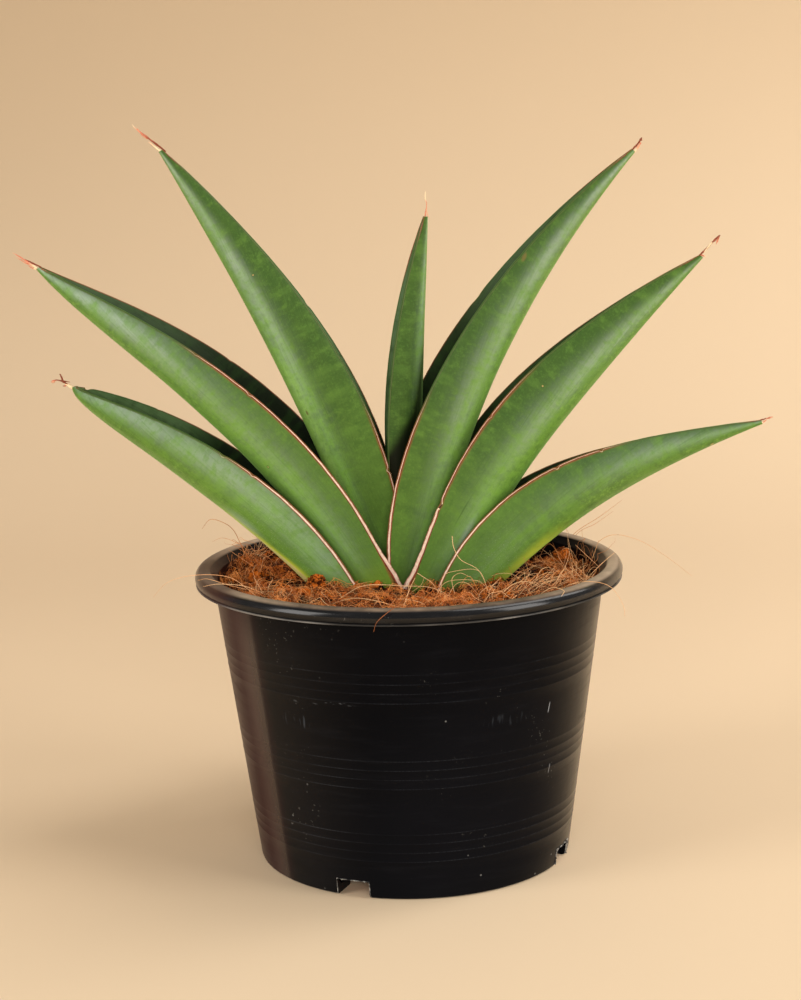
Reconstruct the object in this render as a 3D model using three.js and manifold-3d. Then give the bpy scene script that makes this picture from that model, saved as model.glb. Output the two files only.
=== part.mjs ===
// A snake plant with channelled, pointed leaves in two ranks, potted in coir fibre in a round
// nursery pot. Millimetres, +Z up. The origin is on the pot's axis, at the level it stands on.
import * as THREE from "three";
import { mergeVertices } from "three/addons/utils/BufferGeometryUtils.js";
import Module from "manifold-3d";

const wasm = await Module();
wasm.setup();

// Driving dimensions.
const gap = 0.3; // between pieces that rest on each other
const crownLevel = 84; // where the leaf bases sit on the crown

const pot = {
  height: 104.4,
  footRadius: 55.1,
  mouthRadius: 69.1, // the outer wall's straight slope, carried up to the lip's top
  wall: 1.5,
  floor: 1.6,
  lipRadius: 75,
  lipUnderRadius: 73.3,
  lipInnerRadius: 69.4,
  lipHeight: 5.1,
  padRadius: 14, // centre pad, level with the foot ring
  grooveRadius: 44,
  grooveDepth: 1.4,
  sides: 60,
  slots: { count: 4, first: -22.5, width: 12, height: 6.2, inner: 43 },
};

const soil = {
  level: 98, // middle of the surface
  frontRise: 3.2, // along the wall in front, and as much lower behind
  cornerDrop: 2.6, // in the hollow at the wall behind on the right
  bump: 1.3,
  rings: 9,
  sides: 48,
  strands: 40,
  strandRadius: 0.55,
  strandSink: 2.2,
  reach: 64,
};

const crown = { radius: 20, stretch: 1.24, squeeze: 0.84, middle: -1.5, top: crownLevel - gap, bottom: 60 };

const roots = { count: 8, thick: 1.9, thin: 0.8, reach: 42, bottom: 22, seed: 5 };

// Each leaf is a thick channel. Four control values from base to tip give its keel (x, z), how far
// its flanks stand off the keel, half its mouth, and how far it leans about its own length.
// side is 1 where the leaf bends to +X. The list runs from the outermost leaf to the innermost.
const leaves = {
  leaf_low_right: {
    side: 1,
    keel: [[21, crownLevel], [48.7, 112], [72.5, 130.2], [124.2, 149.9]],
    depth: [16, 33.1, 14.7, 1.4],
    mouth: [18, 17.6, 9.2, 1],
    lean: [0, 3, 13.5, 13.5],
    dryTip: [3.6, 1.5],
  },
  leaf_low_left: {
    side: -1,
    keel: [[-24, crownLevel], [-65.1, 132.3], [-114.8, 158.9], [-115.1, 168.8]],
    depth: [14, 27.7, 8.2, 1.6],
    mouth: [14, 13.8, 12.3, 1.2],
    lean: [0, 3, -1.5, -1.5],
    dryTip: [-6.2, 2.4],
  },
  leaf_middle_right: {
    side: 1,
    keel: [[15, crownLevel], [30.5, 124.7], [45.6, 144.3], [103.4, 208]],
    depth: [19, 19.8, 34, 1.4],
    mouth: [12.5, 18.6, 12.8, 1],
    lean: [0, -4, 5.5, 5.5],
    dryTip: [5.8, 7.6],
  },
  leaf_middle_left: {
    side: -1,
    keel: [[-16.5, crownLevel], [-46.7, 150.4], [-103.9, 182.4], [-125.1, 209.6]],
    depth: [16.5, 27.9, 15.3, 1.4],
    mouth: [10.5, 19.1, 12, 1],
    lean: [0, -6, -1.5, -1.5],
    dryTip: [-7.9, 4.8],
  },
  leaf_high_right: {
    side: 1,
    keel: [[9, crownLevel], [8.5, 115.3], [26.4, 180.1], [80.3, 244.4]],
    depth: [10.5, 31.3, 21.9, 1.4],
    mouth: [7.3, 13.5, 17.6, 1],
    lean: [0, -15, 0, 0],
    dryTip: [2.4, 4.4],
  },
  leaf_high_left: {
    side: -1,
    keel: [[-10, crownLevel], [-23.9, 132.6], [-46.1, 184.1], [-81.4, 248.3]],
    depth: [8, 30.7, 24.5, 1.4],
    mouth: [4.2, 7.5, 13.8, 1],
    lean: [0, -5, 6, 6],
    dryTip: [-9.3, 9.6],
  },
  leaf_centre: {
    side: 1,
    keel: [[3.5, crownLevel], [3.8, 105.1], [5.3, 149.9], [9.5, 224.3]],
    depth: [5, 4, 24, 1.4],
    mouth: [2, 2.5, 11, 1],
    lean: [0, 0, -6, -12],
    dryTip: [-0.2, 8.3],
  },
};

const section = {
  points: 9, // across each face of the leaf
  rows: 17, // from base to the green end
  rim: 1.1, // thickness at the margins
  bow: 118, // degrees that the outer face turns through from keel to margin, past its widest
  bowFrom: 0.1, // share of the length where it grows from a quarter turn
  keelPower: 1.6, // how sharp the keel is
  levelRows: 0.3, // share of the length over which the sections turn from level to square
  hollowFrom: 0.25, // the keel starts to thicken from this share of the length
  baseFloor: 0.2, // keel thickness as a share of the depth
  middleFloor: 0.55,
};

// Small helpers.
const degrees = Math.PI / 180;
const smooth = (x) => THREE.MathUtils.smoothstep(x, 0, 1);
const seeded = (seed) => {
  let state = seed;
  return () => {
    state = (state * 16807) % 2147483647;
    return state / 2147483647;
  };
};
const bezier = ([a, b, c, d], t) => {
  const u = 1 - t;
  return u * u * u * a + 3 * u * u * t * b + 3 * u * t * t * c + t * t * t * d;
};

// A closed geometry as a solid, turned so that its faces point out.
function solidOf(geometry) {
  const bare = new THREE.BufferGeometry();
  bare.setAttribute("position", geometry.getAttribute("position"));
  bare.setIndex(geometry.index);
  const merged = mergeVertices(bare, 1e-4);
  const corners = [];
  for (let i = 0; i < merged.index.count; i += 3) {
    const [a, b, c] = [0, 1, 2].map((k) => merged.index.getX(i + k));
    if (a !== b && b !== c && c !== a) corners.push([a, b, c]);
  }
  const make = (faces) =>
    new wasm.Manifold(
      new wasm.Mesh({
        numProp: 3,
        vertProperties: new Float32Array(merged.attributes.position.array),
        triVerts: new Uint32Array(faces.flat()),
      }),
    );
  const made = make(corners);
  return made.volume() > 0 ? made : make(corners.map(([a, b, c]) => [a, c, b]));
}

// The largest body of a solid, without the crumbs that a cut leaves.
function mainBody(solid) {
  const bodies = solid.decompose();
  return bodies.reduce((best, body) => (body.volume() > best.volume() ? body : best));
}

function meshOf(name, solid, colour, roughness) {
  const { vertProperties, triVerts } = solid.getMesh();
  const geometry = new THREE.BufferGeometry();
  geometry.setAttribute("position", new THREE.BufferAttribute(vertProperties, 3));
  geometry.setIndex(new THREE.BufferAttribute(triVerts, 1));
  geometry.computeVertexNormals();
  const material = new THREE.MeshStandardMaterial({ color: colour, roughness, metalness: 0 });
  const mesh = new THREE.Mesh(geometry, material);
  mesh.name = name;
  return mesh;
}

// A closed skin over a row of rings. Each end is a strip between a ring's two halves.
function loft(rings) {
  const size = rings[0].length;
  const corners = [];
  const at = (row, i) => row * size + ((i + size) % size);
  for (let row = 0; row + 1 < rings.length; row++)
    for (let i = 0; i < size; i++) {
      corners.push(at(row, i), at(row, i + 1), at(row + 1, i + 1));
      corners.push(at(row, i), at(row + 1, i + 1), at(row + 1, i));
    }
  const last = rings.length - 1;
  for (let i = 0; i < size / 2 - 1; i++) {
    const [a, b, c, d] = [i, i + 1, size - 2 - i, size - 1 - i];
    corners.push(at(0, b), at(0, a), at(0, d), at(0, b), at(0, d), at(0, c));
    corners.push(at(last, a), at(last, b), at(last, c), at(last, a), at(last, c), at(last, d));
  }
  const geometry = new THREE.BufferGeometry().setFromPoints(rings.flat());
  geometry.setIndex(corners);
  return solidOf(geometry);
}

// A round, tapering root or strand along a curve.
function tendril(curve, steps, sides, radiusAt) {
  const frames = curve.computeFrenetFrames(steps, false);
  const rings = [];
  for (let row = 0; row <= steps; row++) {
    const middle = curve.getPointAt(row / steps);
    const radius = radiusAt(row / steps);
    rings.push(
      Array.from({ length: sides }, (_, i) => {
        const turn = (i / sides) * 2 * Math.PI;
        return middle
          .clone()
          .addScaledVector(frames.normals[row], radius * Math.cos(turn))
          .addScaledVector(frames.binormals[row], radius * Math.sin(turn));
      }),
    );
  }
  return loft(rings);
}

// One ring of a leaf: its outer face from margin to margin, then its channel back.
function leafRing(leaf, t, { grow = 0, filled = false, shrink = 1, shift = [0, 0] }) {
  const keel = (u) => new THREE.Vector3(
    bezier(leaf.keel.map(([x]) => x), u), 0, bezier(leaf.keel.map(([, z]) => z), u));
  const along = keel(Math.min(t + 0.01, 1)).sub(keel(Math.min(t, 0.99))).normalize();
  const square = new THREE.Vector3(-along.z * leaf.side, 0, along.x * leaf.side);
  const level = new THREE.Vector3(-leaf.side, 0, 0);
  const inward = level.lerp(square, smooth(t / section.levelRows)).normalize();
  const lean = bezier(leaf.lean, t) * degrees;
  const across = new THREE.Vector3(0, Math.cos(lean), 0).addScaledVector(inward, -Math.sin(lean));
  inward.multiplyScalar(Math.cos(lean)).setY(Math.sin(lean));

  const depth = bezier(leaf.depth, t) * shrink;
  const mouth = bezier(leaf.mouth, t) * shrink;
  const rim = Math.min(section.rim, 0.45 * mouth);
  const hollow = smooth((t - section.hollowFrom) / 0.4);
  const filling = smooth((t - 0.8) / 0.18);
  const floor = depth * (section.baseFloor + (section.middleFloor - section.baseFloor) * hollow
    + (1 - section.middleFloor) * filling);
  const bend = 2 - 0.5 * hollow;
  const bow = (90 + (section.bow - 90) * smooth((t - section.bowFrom) / 0.5)) * degrees;
  const middle = keel(t).add(new THREE.Vector3(shift[0], 0, shift[1]));
  const point = (side, up) =>
    middle.clone().addScaledVector(across, side).addScaledVector(inward, up);

  const outer = [];
  const inner = [];
  for (let i = 0; i < section.points; i++) {
    const s = (2 * i) / (section.points - 1) - 1;
    const rise = Math.abs(s);
    const wide = Math.sin(bow * s) / Math.sin(bow);
    outer.push(point((mouth + grow) * wide, (depth + 2 * grow) * rise ** section.keelPower - grow));
    const channel = filled ? depth + grow : floor + (depth - floor) * rise ** bend;
    inner.unshift(point((mouth + grow - rim) * s, channel));
  }
  return [...outer, ...inner];
}

// The whole leaf, ending in its thin dry tip. A grown, filled copy is what its neighbours clear.
function leafSolid(leaf, options = {}) {
  const rows = options.rows ?? section.rows;
  const rings = [];
  for (let row = 0; row <= rows; row++) rings.push(leafRing(leaf, row / rows, options));
  if (!options.filled)
    for (const share of [0.5, 1])
      rings.push(leafRing(leaf, 1, { shrink: 1 - 0.5 * share, shift: leaf.dryTip.map((v) => v * share) }));
  return loft(rings);
}

// The leaves, each cut back where a leaf inside it needs room.
function grownLeaves() {
  const names = Object.keys(leaves);
  return names.map((name, i) => {
    let solid = leafSolid(leaves[name]);
    for (const inside of names.slice(i + 1))
      solid = solid.subtract(leafSolid(leaves[inside], { grow: gap, filled: true }));
    return [name, mainBody(solid)];
  });
}

const wallRadius = (z) =>
  pot.footRadius + ((pot.mouthRadius - pot.footRadius) * z) / pot.height;

// A profile turned about the pot's axis.
function turned(outline, sides) {
  const profile = outline.map(([r, z]) => new THREE.Vector2(r, z));
  return new THREE.LatheGeometry(profile, sides).rotateX(Math.PI / 2);
}

function potSolid() {
  const { height, wall, floor, padRadius, grooveRadius, grooveDepth } = pot;
  const under = height - pot.lipHeight;
  const inner = (z) => wallRadius(z) - wall;
  const raised = floor + grooveDepth;
  const outline = [
    [0, 0], [padRadius, 0], [padRadius + 1.6, grooveDepth],
    [grooveRadius, grooveDepth], [grooveRadius + 1.6, 0], [pot.footRadius - 1.3, 0],
    [wallRadius(1.2), 1.2], [wallRadius(under), under],
    [pot.lipUnderRadius, under], [pot.lipRadius - 0.5, under + 1], [pot.lipRadius, under + 2.5],
    [pot.lipRadius - 0.4, under + 3.9], [pot.lipRadius - 1.6, height - 0.25],
    [pot.lipRadius - 3.2, height], [pot.lipInnerRadius + 0.7, height - 0.1],
    [pot.lipInnerRadius - 0.2, height - 0.8], [inner(height - 3), height - 3],
    [inner(raised + 2), raised + 2], [inner(raised) - 1.6, raised],
    [padRadius + 1.2, raised], [padRadius - 1, floor], [0, floor],
  ];
  let solid = solidOf(turned(outline, pot.sides));
  const { count, first, width, height: slotHeight, inner: slotInner } = pot.slots;
  const slotLength = pot.footRadius + 5 - slotInner;
  for (let i = 0; i < count; i++) {
    const slot = new THREE.BoxGeometry(width, slotLength, 2 * slotHeight);
    slot.translate(0, -slotInner - slotLength / 2, 0);
    slot.rotateZ((first + (360 / count) * i) * degrees);
    solid = solid.subtract(solidOf(slot));
  }
  return solid;
}

// Height of the coir's surface, rough, heaped in front and lower behind.
function soilHeight(x, y) {
  const radius = Math.max(Math.hypot(x, y), 1);
  const corner = Math.max(0, (0.6 * x + 0.8 * y) / radius) ** 4;
  const edge = (soil.frontRise * y / radius + soil.cornerDrop * corner) * smooth((radius - 34) / 30);
  const relief = Math.sin(x * 0.31 + 1.7) * Math.cos(y * 0.27) + 0.6 * Math.sin(x * 0.62 - y * 0.55 + 0.8)
    + 0.45 * Math.sin(x * 0.95 + y * 1.1);
  return soil.level - edge + soil.bump * relief * 0.6;
}

function soilSolid(leafSolids, rhizome) {
  const { floor, wall, grooveDepth } = pot;
  const bottom = floor + grooveDepth + gap;
  const inner = (z) => wallRadius(z) - wall - gap;
  const outline = [[0, bottom], [inner(bottom) - 1.8, bottom], [inner(bottom + 2), bottom + 2],
    [inner(50), 50], [inner(90), 90]];
  for (let i = 0; i < soil.rings; i++) outline.push([(inner(90) + 0.2) * (1 - i / soil.rings), soil.level]);
  outline.push([0, soil.level]);
  const bed = turned(outline, soil.sides);
  const place = bed.getAttribute("position");
  for (let i = 0; i < place.count; i++)
    if (place.getZ(i) > soil.level - 1) place.setZ(i, soilHeight(place.getX(i), place.getY(i)));

  let solid = solidOf(bed);
  for (const strand of strands()) solid = solid.add(strand);
  for (const leaf of Object.values(leaves))
    solid = solid.subtract(leafSolid(leaf, { grow: 2 * gap, filled: true, rows: 9 }));
  return mainBody(solid.subtract(rhizome));
}

// Coir strands that arch out of the surface, with both ends sunk in it.
function strands() {
  const random = seeded(11);
  return Array.from({ length: soil.strands }, () => {
    const turn = random() * 2 * Math.PI;
    const radius = soil.reach * Math.sqrt(0.1 + 0.86 * random());
    const heading = random() * 2 * Math.PI;
    const length = 9 + 13 * random();
    const rise = 1.2 + 2.6 * random();
    const sway = (random() - 0.5) * 7;
    const points = [-0.5, -0.25, 0, 0.25, 0.5].map((u) => {
      let x = radius * Math.cos(turn) + Math.cos(heading) * length * u - Math.sin(heading) * sway * 4 * u * u;
      let y = radius * Math.sin(turn) + Math.sin(heading) * length * u + Math.cos(heading) * sway * 4 * u * u;
      const pull = Math.min(1, soil.reach / Math.hypot(x, y));
      x *= pull;
      y *= pull;
      const lift = rise * (1 - 4 * u * u) - soil.strandSink * 4 * u * u;
      return new THREE.Vector3(x, y, soilHeight(x, y) + lift);
    });
    return tendril(new THREE.CatmullRomCurve3(points), 6, 4, () => soil.strandRadius);
  });
}

// The short, stout rhizome under the leaves with its fleshy roots. Grown copies make its room.
function rhizomeSolid(grow) {
  const { radius, stretch, squeeze, middle, top, bottom } = crown;
  const outline = [[0, bottom], [7, bottom + 1], [13, bottom + 5], [16, bottom + 9], [15, bottom + 10],
    [18, bottom + 15], [17, bottom + 16.5], [radius, bottom + 21], [radius - 0.6, top], [0, top]]
    .map(([r, z]) => [r === 0 ? 0 : r + grow, z + grow * Math.sign(z - (top + bottom) / 2)]);
  let solid = solidOf(turned(outline, 20).scale(stretch, squeeze, 1).translate(middle, 0, 0));
  const random = seeded(roots.seed);
  for (let i = 0; i < roots.count; i++) {
    const turn = ((i + 0.3 * random()) / roots.count) * 2 * Math.PI;
    const reach = roots.reach * (0.7 + 0.3 * random());
    const start = bottom + 5 + 4 * random();
    const end = roots.bottom + 14 * random();
    const points = [0, 0.3, 0.65, 1].map((u) => {
      const r = 8 + (reach - 8) * u ** 0.8;
      const bend = turn + 0.35 * Math.sin(3 * u + i);
      return new THREE.Vector3(
        middle + r * Math.cos(bend), r * Math.sin(bend), start + (end - start) * u ** 1.4);
    });
    const taper = (u) => roots.thick + (roots.thin - roots.thick) * u + grow;
    solid = solid.add(tendril(new THREE.CatmullRomCurve3(points), 6, 6, taper));
  }
  return solid;
}

const grown = grownLeaves();
const part = new THREE.Group();
part.add(meshOf("pot", potSolid(), 0x15161a, 0.32));
part.add(meshOf("coir", soilSolid(grown, rhizomeSolid(gap)), 0x9a5428, 0.95));
part.add(meshOf("rhizome", rhizomeSolid(0), 0xc98f4e, 0.7));
for (const [name, solid] of grown) part.add(meshOf(name, solid, 0x3f7434, 0.5));

export default part;
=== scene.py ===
import math
import random

import bpy
import numpy as np
from mathutils import Matrix, Vector, noise


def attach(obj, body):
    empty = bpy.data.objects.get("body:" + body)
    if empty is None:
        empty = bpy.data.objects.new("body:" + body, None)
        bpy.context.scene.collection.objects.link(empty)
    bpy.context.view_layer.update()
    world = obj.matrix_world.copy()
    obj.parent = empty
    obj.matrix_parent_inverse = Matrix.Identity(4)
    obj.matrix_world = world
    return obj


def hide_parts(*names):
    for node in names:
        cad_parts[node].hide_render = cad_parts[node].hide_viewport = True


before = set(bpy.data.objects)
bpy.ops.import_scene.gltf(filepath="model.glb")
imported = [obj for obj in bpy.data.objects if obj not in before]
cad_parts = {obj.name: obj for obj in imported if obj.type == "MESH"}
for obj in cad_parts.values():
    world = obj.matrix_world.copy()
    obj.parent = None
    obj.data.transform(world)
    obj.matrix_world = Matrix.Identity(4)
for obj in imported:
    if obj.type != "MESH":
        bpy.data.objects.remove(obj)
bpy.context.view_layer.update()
mm = 0.001
print("frame loaded:", len(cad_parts), "nodes")


# tools that all the pieces share
def deselectAll():
    if bpy.context.mode != "OBJECT":
        bpy.ops.object.mode_set(mode="OBJECT")
    bpy.ops.object.select_all(action="DESELECT")


def pick(piece):
    deselectAll()
    piece.select_set(True)
    bpy.context.view_layer.objects.active = piece


def named(piece, name):
    piece.name = name
    piece.data.name = name
    return piece


def readPoints(piece):
    flat = np.empty(len(piece.data.vertices) * 3, np.float32)
    piece.data.vertices.foreach_get("co", flat)
    return flat.reshape(-1, 3)


def movePoints(piece, places):
    piece.data.vertices.foreach_set("co", np.asarray(places, np.float32).ravel())
    piece.data.update()


def newGrid(name, columns, rows):
    # a flat grid, with the row and the column that each of its points is in
    deselectAll()
    bpy.ops.mesh.primitive_grid_add(x_subdivisions=columns, y_subdivisions=rows, size=1)
    piece = named(bpy.context.object, name)
    flat = readPoints(piece) + 0.5
    return piece, np.rint(flat[:, 1] * rows).astype(int), np.rint(flat[:, 0] * columns).astype(int)


def store(piece, name, first, second, third):
    # three numbers for each point, which the finishes read by name
    values = np.stack(np.broadcast_arrays(first, second, third), -1)
    layer = piece.data.attributes.new(name, "FLOAT_VECTOR", "POINT")
    layer.data.foreach_set("vector", values.astype(np.float32).ravel())


def closeSeams(piece, fill=True, reach=2e-6):
    pick(piece)
    bpy.ops.object.mode_set(mode="EDIT")
    bpy.ops.mesh.select_all(action="SELECT")
    bpy.ops.mesh.remove_doubles(threshold=reach)
    if fill:
        bpy.ops.mesh.select_all(action="SELECT")
        bpy.ops.mesh.fill_holes(sides=0)
    bpy.ops.mesh.select_all(action="SELECT")
    bpy.ops.mesh.normals_make_consistent(inside=False)
    bpy.ops.object.mode_set(mode="OBJECT")


def applyModifier(piece, kind, **settings):
    pick(piece)
    step = piece.modifiers.new(kind.lower(), kind)
    for name, value in settings.items():
        setattr(step, name, value)
    bpy.ops.object.modifier_apply(modifier=step.name)


def smoothShade(piece, angle=40):
    pick(piece)
    bpy.ops.object.shade_smooth_by_angle(angle=math.radians(angle))


def finishPiece(piece, angle, finish, slotName, *nodes):
    smoothShade(piece, angle)
    piece.data.materials.clear()
    piece.data.materials.append(finish)
    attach(piece, "root")
    if nodes:
        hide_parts(*nodes)


def smooth(x):
    x = np.clip(x, 0, 1)
    return x * x * (3 - 2 * x)


def bell(x):
    return np.exp(-x * x)


def unit(v):
    return v / np.maximum(np.linalg.norm(v, axis=-1, keepdims=True), 1e-12)


def ripple(x, seed, waves=5):
    chance = random.Random(seed)  # a smooth seeded line between about -1 and 1
    line = np.zeros_like(x, float)
    for i in range(waves):
        line += np.sin(x * 1.7 ** i + chance.uniform(0, 6.3)) / 1.4 ** i
    return line / 2.4


def curveThrough(points, count):
    # a smooth line of so many places through a few given ones
    points = np.array(points, float)
    line = np.vstack((2 * points[0] - points[1], points, 2 * points[-1] - points[-2]))
    run = np.linspace(0, len(points) - 1 - 1e-6, count)
    start = run.astype(int)
    a, b, c, d = (line[start + i] for i in range(4))
    f = (run - start)[:, None]
    return 0.5 * (2 * b + (c - a) * f + (2 * a - 5 * b + 4 * c - d) * f ** 2
                  + (3 * b - a - 3 * c + d) * f ** 3)


class Wire:  # one shader socket that takes part in sums
    def __init__(self, tree, socket=None):
        self.tree = tree
        self.socket = socket

    def node(self, kind, settings=None, inputs=None, output=0):
        made = self.tree.nodes.new("ShaderNode" + kind)
        for name, value in (settings or {}).items():
            setattr(made, name, value)
        for place, value in (inputs or {}).items():
            if isinstance(value, Wire):
                self.tree.links.new(value.socket, made.inputs[place])
            else:
                made.inputs[place].default_value = value
        return Wire(self.tree, made.outputs[output] if len(made.outputs) else None)

    def maths(self, operation, first, second=0.0):
        return self.node("Math", {"operation": operation}, {0: first, 1: second})

    def ramp(self, low, high):  # 0 at low, 1 at high, smooth between
        settings = {"interpolation_type": "SMOOTHSTEP"}
        if low <= high:
            return self.node("MapRange", settings, {0: self, 1: low, 2: high})
        return 1 - self.node("MapRange", settings, {0: self, 1: high, 2: low})

    def part(self, axis):
        return self.node("SeparateXYZ", None, {0: self}, axis)

    def scaled(self, x, y, z):
        return self.node("VectorMath", {"operation": "MULTIPLY"}, {0: self, 1: (x, y, z)})

    def noise(self, scale, detail=3.0, rough=0.5):
        inputs = {"Vector": self, "Scale": scale, "Detail": detail, "Roughness": rough}
        return self.node("TexNoise", None, inputs)

    def cells(self, scale, output=0):
        return self.node("TexVoronoi", None, {"Vector": self, "Scale": scale}, output)

    def toward(self, other, share):  # a colour mixed with another
        return tone(self, self, other, share)

    def layered(self, *coats):  # colours laid over this one in turn, each with its share
        colour = self
        for other, share in coats:
            colour = colour.toward(other, share)
        return colour


signs = (("add", "ADD"), ("sub", "SUBTRACT"), ("mul", "MULTIPLY"), ("truediv", "DIVIDE"), ("pow", "POWER"))
for sign, word in signs:  # + - * / and **, with the socket on either side
    setattr(Wire, f"__{sign}__", lambda self, other, word=word: self.maths(word, self, other))
    setattr(Wire, f"__r{sign}__", lambda self, other, word=word: self.maths(word, other, self))


def paint(r, g, b):
    # a display colour from 0 to 255 as the linear colour that a shader takes
    linear = [c / 255 / 12.92 if c <= 10 else ((c / 255 + 0.055) / 1.055) ** 2.4 for c in (r, g, b)]
    return tuple(linear) + (1.0,)


def newFinish(name):
    finish = bpy.data.materials.new(name)
    finish.use_nodes = True
    finish.node_tree.nodes.clear()
    start = Wire(finish.node_tree)
    start.finish = finish
    return start


def spot(start, name=None):
    # a piece's own attribute, or its object coordinates
    if name:
        return start.node("Attribute", {"attribute_name": name}, None, 1)
    return start.node("TexCoord", None, None, 3)


def tone(start, first, second, share):
    return start.node("Mix", {"data_type": "RGBA"}, {0: share, 6: first, 7: second}, 2)


def raised(start, height, distance, strength=1.0, under=None):
    inputs = {"Height": height, "Distance": distance, "Strength": strength}
    if under:
        inputs["Normal"] = under
    return start.node("Bump", None, inputs)


def surface(start, colour, roughness, specular, more):
    values = {"Base Color": colour, "Roughness": roughness, "Specular IOR Level": specular}
    shader = start.node("BsdfPrincipled", None, {**values, **more})
    start.node("OutputMaterial", None, {"Surface": shader})
    return start.finish


cameraView = {
    "place": (0, -0.71505, 0.2593),
    "pitch": 0.1841,  # radians, looking down
    "yaw": -0.0032,
    "roll": -0.0249,
    "lens": 74.8,
}

studio = {
    "wide": 5.2, "front": -1.9, "back": 0.5, "cove": 0.8, "tall": 1.5, "sweepRows": 60,
    "paper": paint(242, 218, 185), "paperDeep": paint(194, 169, 137),
    "deeperUp": 1.4, "deeperLeft": 0.26, "uneven": 0.08,
    "air": (1.0, 0.93, 0.84), "airStrength": 0.3,
    "lamps": [  # azimuth (0 in front, positive to the right), elevation, distance, width, height, watts, aim
        ("lampLeft", -62, 20, 1.3, 0.55, 0.95, 8, (0, 0, 0.14)),
        ("lampRight", 62, 20, 1.3, 0.55, 0.95, 8, (0, 0, 0.14)),
        ("lampFront", 0, 9, 2.3, 1.7, 1.1, 40, (0, 0, 0.14)),
        ("lampWall", 40, 42, 1.3, 1.6, 0.5, 10, (0.3, 1.0, 0.2)),
    ],
    "lampColour": (1.0, 0.965, 0.92),
}


def placeCamera(view):
    bpy.ops.object.camera_add()
    camera = bpy.context.object
    camera.name = "camera"
    yaw, pitch, roll = view["yaw"], view["pitch"], view["roll"]
    ahead = Vector((math.sin(yaw) * math.cos(pitch), math.cos(yaw) * math.cos(pitch), -math.sin(pitch)))
    side = Vector((math.cos(yaw), -math.sin(yaw), 0))
    up = side.cross(ahead)
    turnedSide = math.cos(roll) * side + math.sin(roll) * up
    turnedUp = math.cos(roll) * up - math.sin(roll) * side
    camera.matrix_world = Matrix((
        (turnedSide.x, turnedUp.x, -ahead.x, view["place"][0]),
        (turnedSide.y, turnedUp.y, -ahead.y, view["place"][1]),
        (turnedSide.z, turnedUp.z, -ahead.z, view["place"][2]),
        (0, 0, 0, 1)))
    camera.data.lens = view["lens"]
    camera.data.sensor_width = 36
    bpy.context.scene.camera = camera


def paperFinish():
    start = newFinish("studioPaper")
    at = spot(start)
    # painted shade: the paper grows deeper upwards and to the left, a little unevenly
    fall = at.part(2) * studio["deeperUp"] - at.part(0) * studio["deeperLeft"]
    fall = fall + at.noise(1.3, 2) * studio["uneven"]
    colour = tone(start, studio["paper"], studio["paperDeep"], fall.ramp(-0.3, 0.8))
    return surface(start, colour, 0.9, 0.2, {})


def buildStudio():
    rows = studio["sweepRows"]
    sweep, row, column = newGrid("studio_sweep", 2, rows)
    floorRun = studio["back"] - studio["front"]
    curveRun = studio["cove"] * math.pi / 2
    run = row / rows * (floorRun + curveRun + studio["tall"])
    turn = np.clip((run - floorRun) / studio["cove"], 0, math.pi / 2)
    wall = np.maximum(run - floorRun - curveRun, 0)
    y = studio["front"] + np.minimum(run, floorRun) + studio["cove"] * np.sin(turn)
    z = studio["cove"] * (1 - np.cos(turn)) + wall
    movePoints(sweep, np.stack((studio["wide"] * (column - 1) / 2, y, z), -1))
    smoothShade(sweep, 60)
    sweep.data.materials.append(paperFinish())
    for name, azimuth, elevation, distance, width, height, watts, aim in studio["lamps"]:
        a, e = math.radians(azimuth), math.radians(elevation)
        away = Vector((math.sin(a) * math.cos(e), -math.cos(a) * math.cos(e), math.sin(e)))
        turn = away.to_track_quat("Z", "Y").to_euler()
        bpy.ops.object.light_add(type="AREA", location=Vector(aim) + away * distance, rotation=turn)
        lamp = named(bpy.context.object, name)
        lamp.data.shape = "RECTANGLE"
        lamp.data.size = width
        lamp.data.size_y = height
        lamp.data.energy = watts
        lamp.data.color = studio["lampColour"]
        lamp.visible_glossy = name != "lampFront"  # the fill leaves no glint
    world = bpy.data.worlds.new("air")
    world.use_nodes = True
    air = world.node_tree.nodes["Background"]
    air.inputs["Color"].default_value = studio["air"] + (1,)
    air.inputs["Strength"].default_value = studio["airStrength"]
    bpy.context.scene.world = world
    bpy.context.scene.view_settings.view_transform = "Standard"


placeCamera(cameraView)
buildStudio()
print("camera, floor and light set")


pot = {
    "height": 104.4, "footRadius": 55.1, "mouthRadius": 69.1, "wall": 1.5, "floor": 1.6,
    "lipRadius": 75.0, "lipMiddle": 71.8, "lipUnder": 99.3, "lipLevel": 101.6,
    "padRadius": 14.0, "grooveRadius": 44.0, "grooveDepth": 1.4,
    "slots": 4, "slotFirst": -22.5, "slotWidth": 12.0, "slotHeight": 6.2, "slotInner": 43.0,
    "burrSteps": 90, "burrFoot": 0.6, "burrThick": 0.14,
    "ringGroups": (13.9, 40.4, 70.8),  # lowest tool mark of each group on the wall
    "ringShares": (1.0, 0.6, 0.85, 0.5),  # how high each ring of a group stands
    "ringPitch": 3.3, "ringHigh": 0.07, "ringWide": 0.5,
    "steps": 240,
    # degrees round from the front, height, half width in degrees, half height, sort, strength
    "marks": [(-37.5, 62, 6, 3.4, "scuff", 0.34), (29.5, 62, 10, 2.6, "scuff", 0.16),
              (-34, 69, 6, 0.9, "dashes", 0.35), (46.2, 62.6, 1.1, 2.2, "scratch", 0.8),
              (49.4, 39.8, 1.0, 2.0, "scratch", 0.6), (-22, 70, 7, 0.7, "dashes", 0.3),
              (150, 50, 12, 6, "scuff", 0.3), (-120, 34, 10, 5, "scuff", 0.3), (95, 66, 8, 4, "scuff", 0.25),
              (118, 24, 1.2, 3, "scratch", 0.7), (-168, 78, 1.1, 2.4, "scratch", 0.7)],
}


def wallRadius(z):
    return pot["footRadius"] + (pot["mouthRadius"] - pot["footRadius"]) * z / pot["height"]


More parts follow.
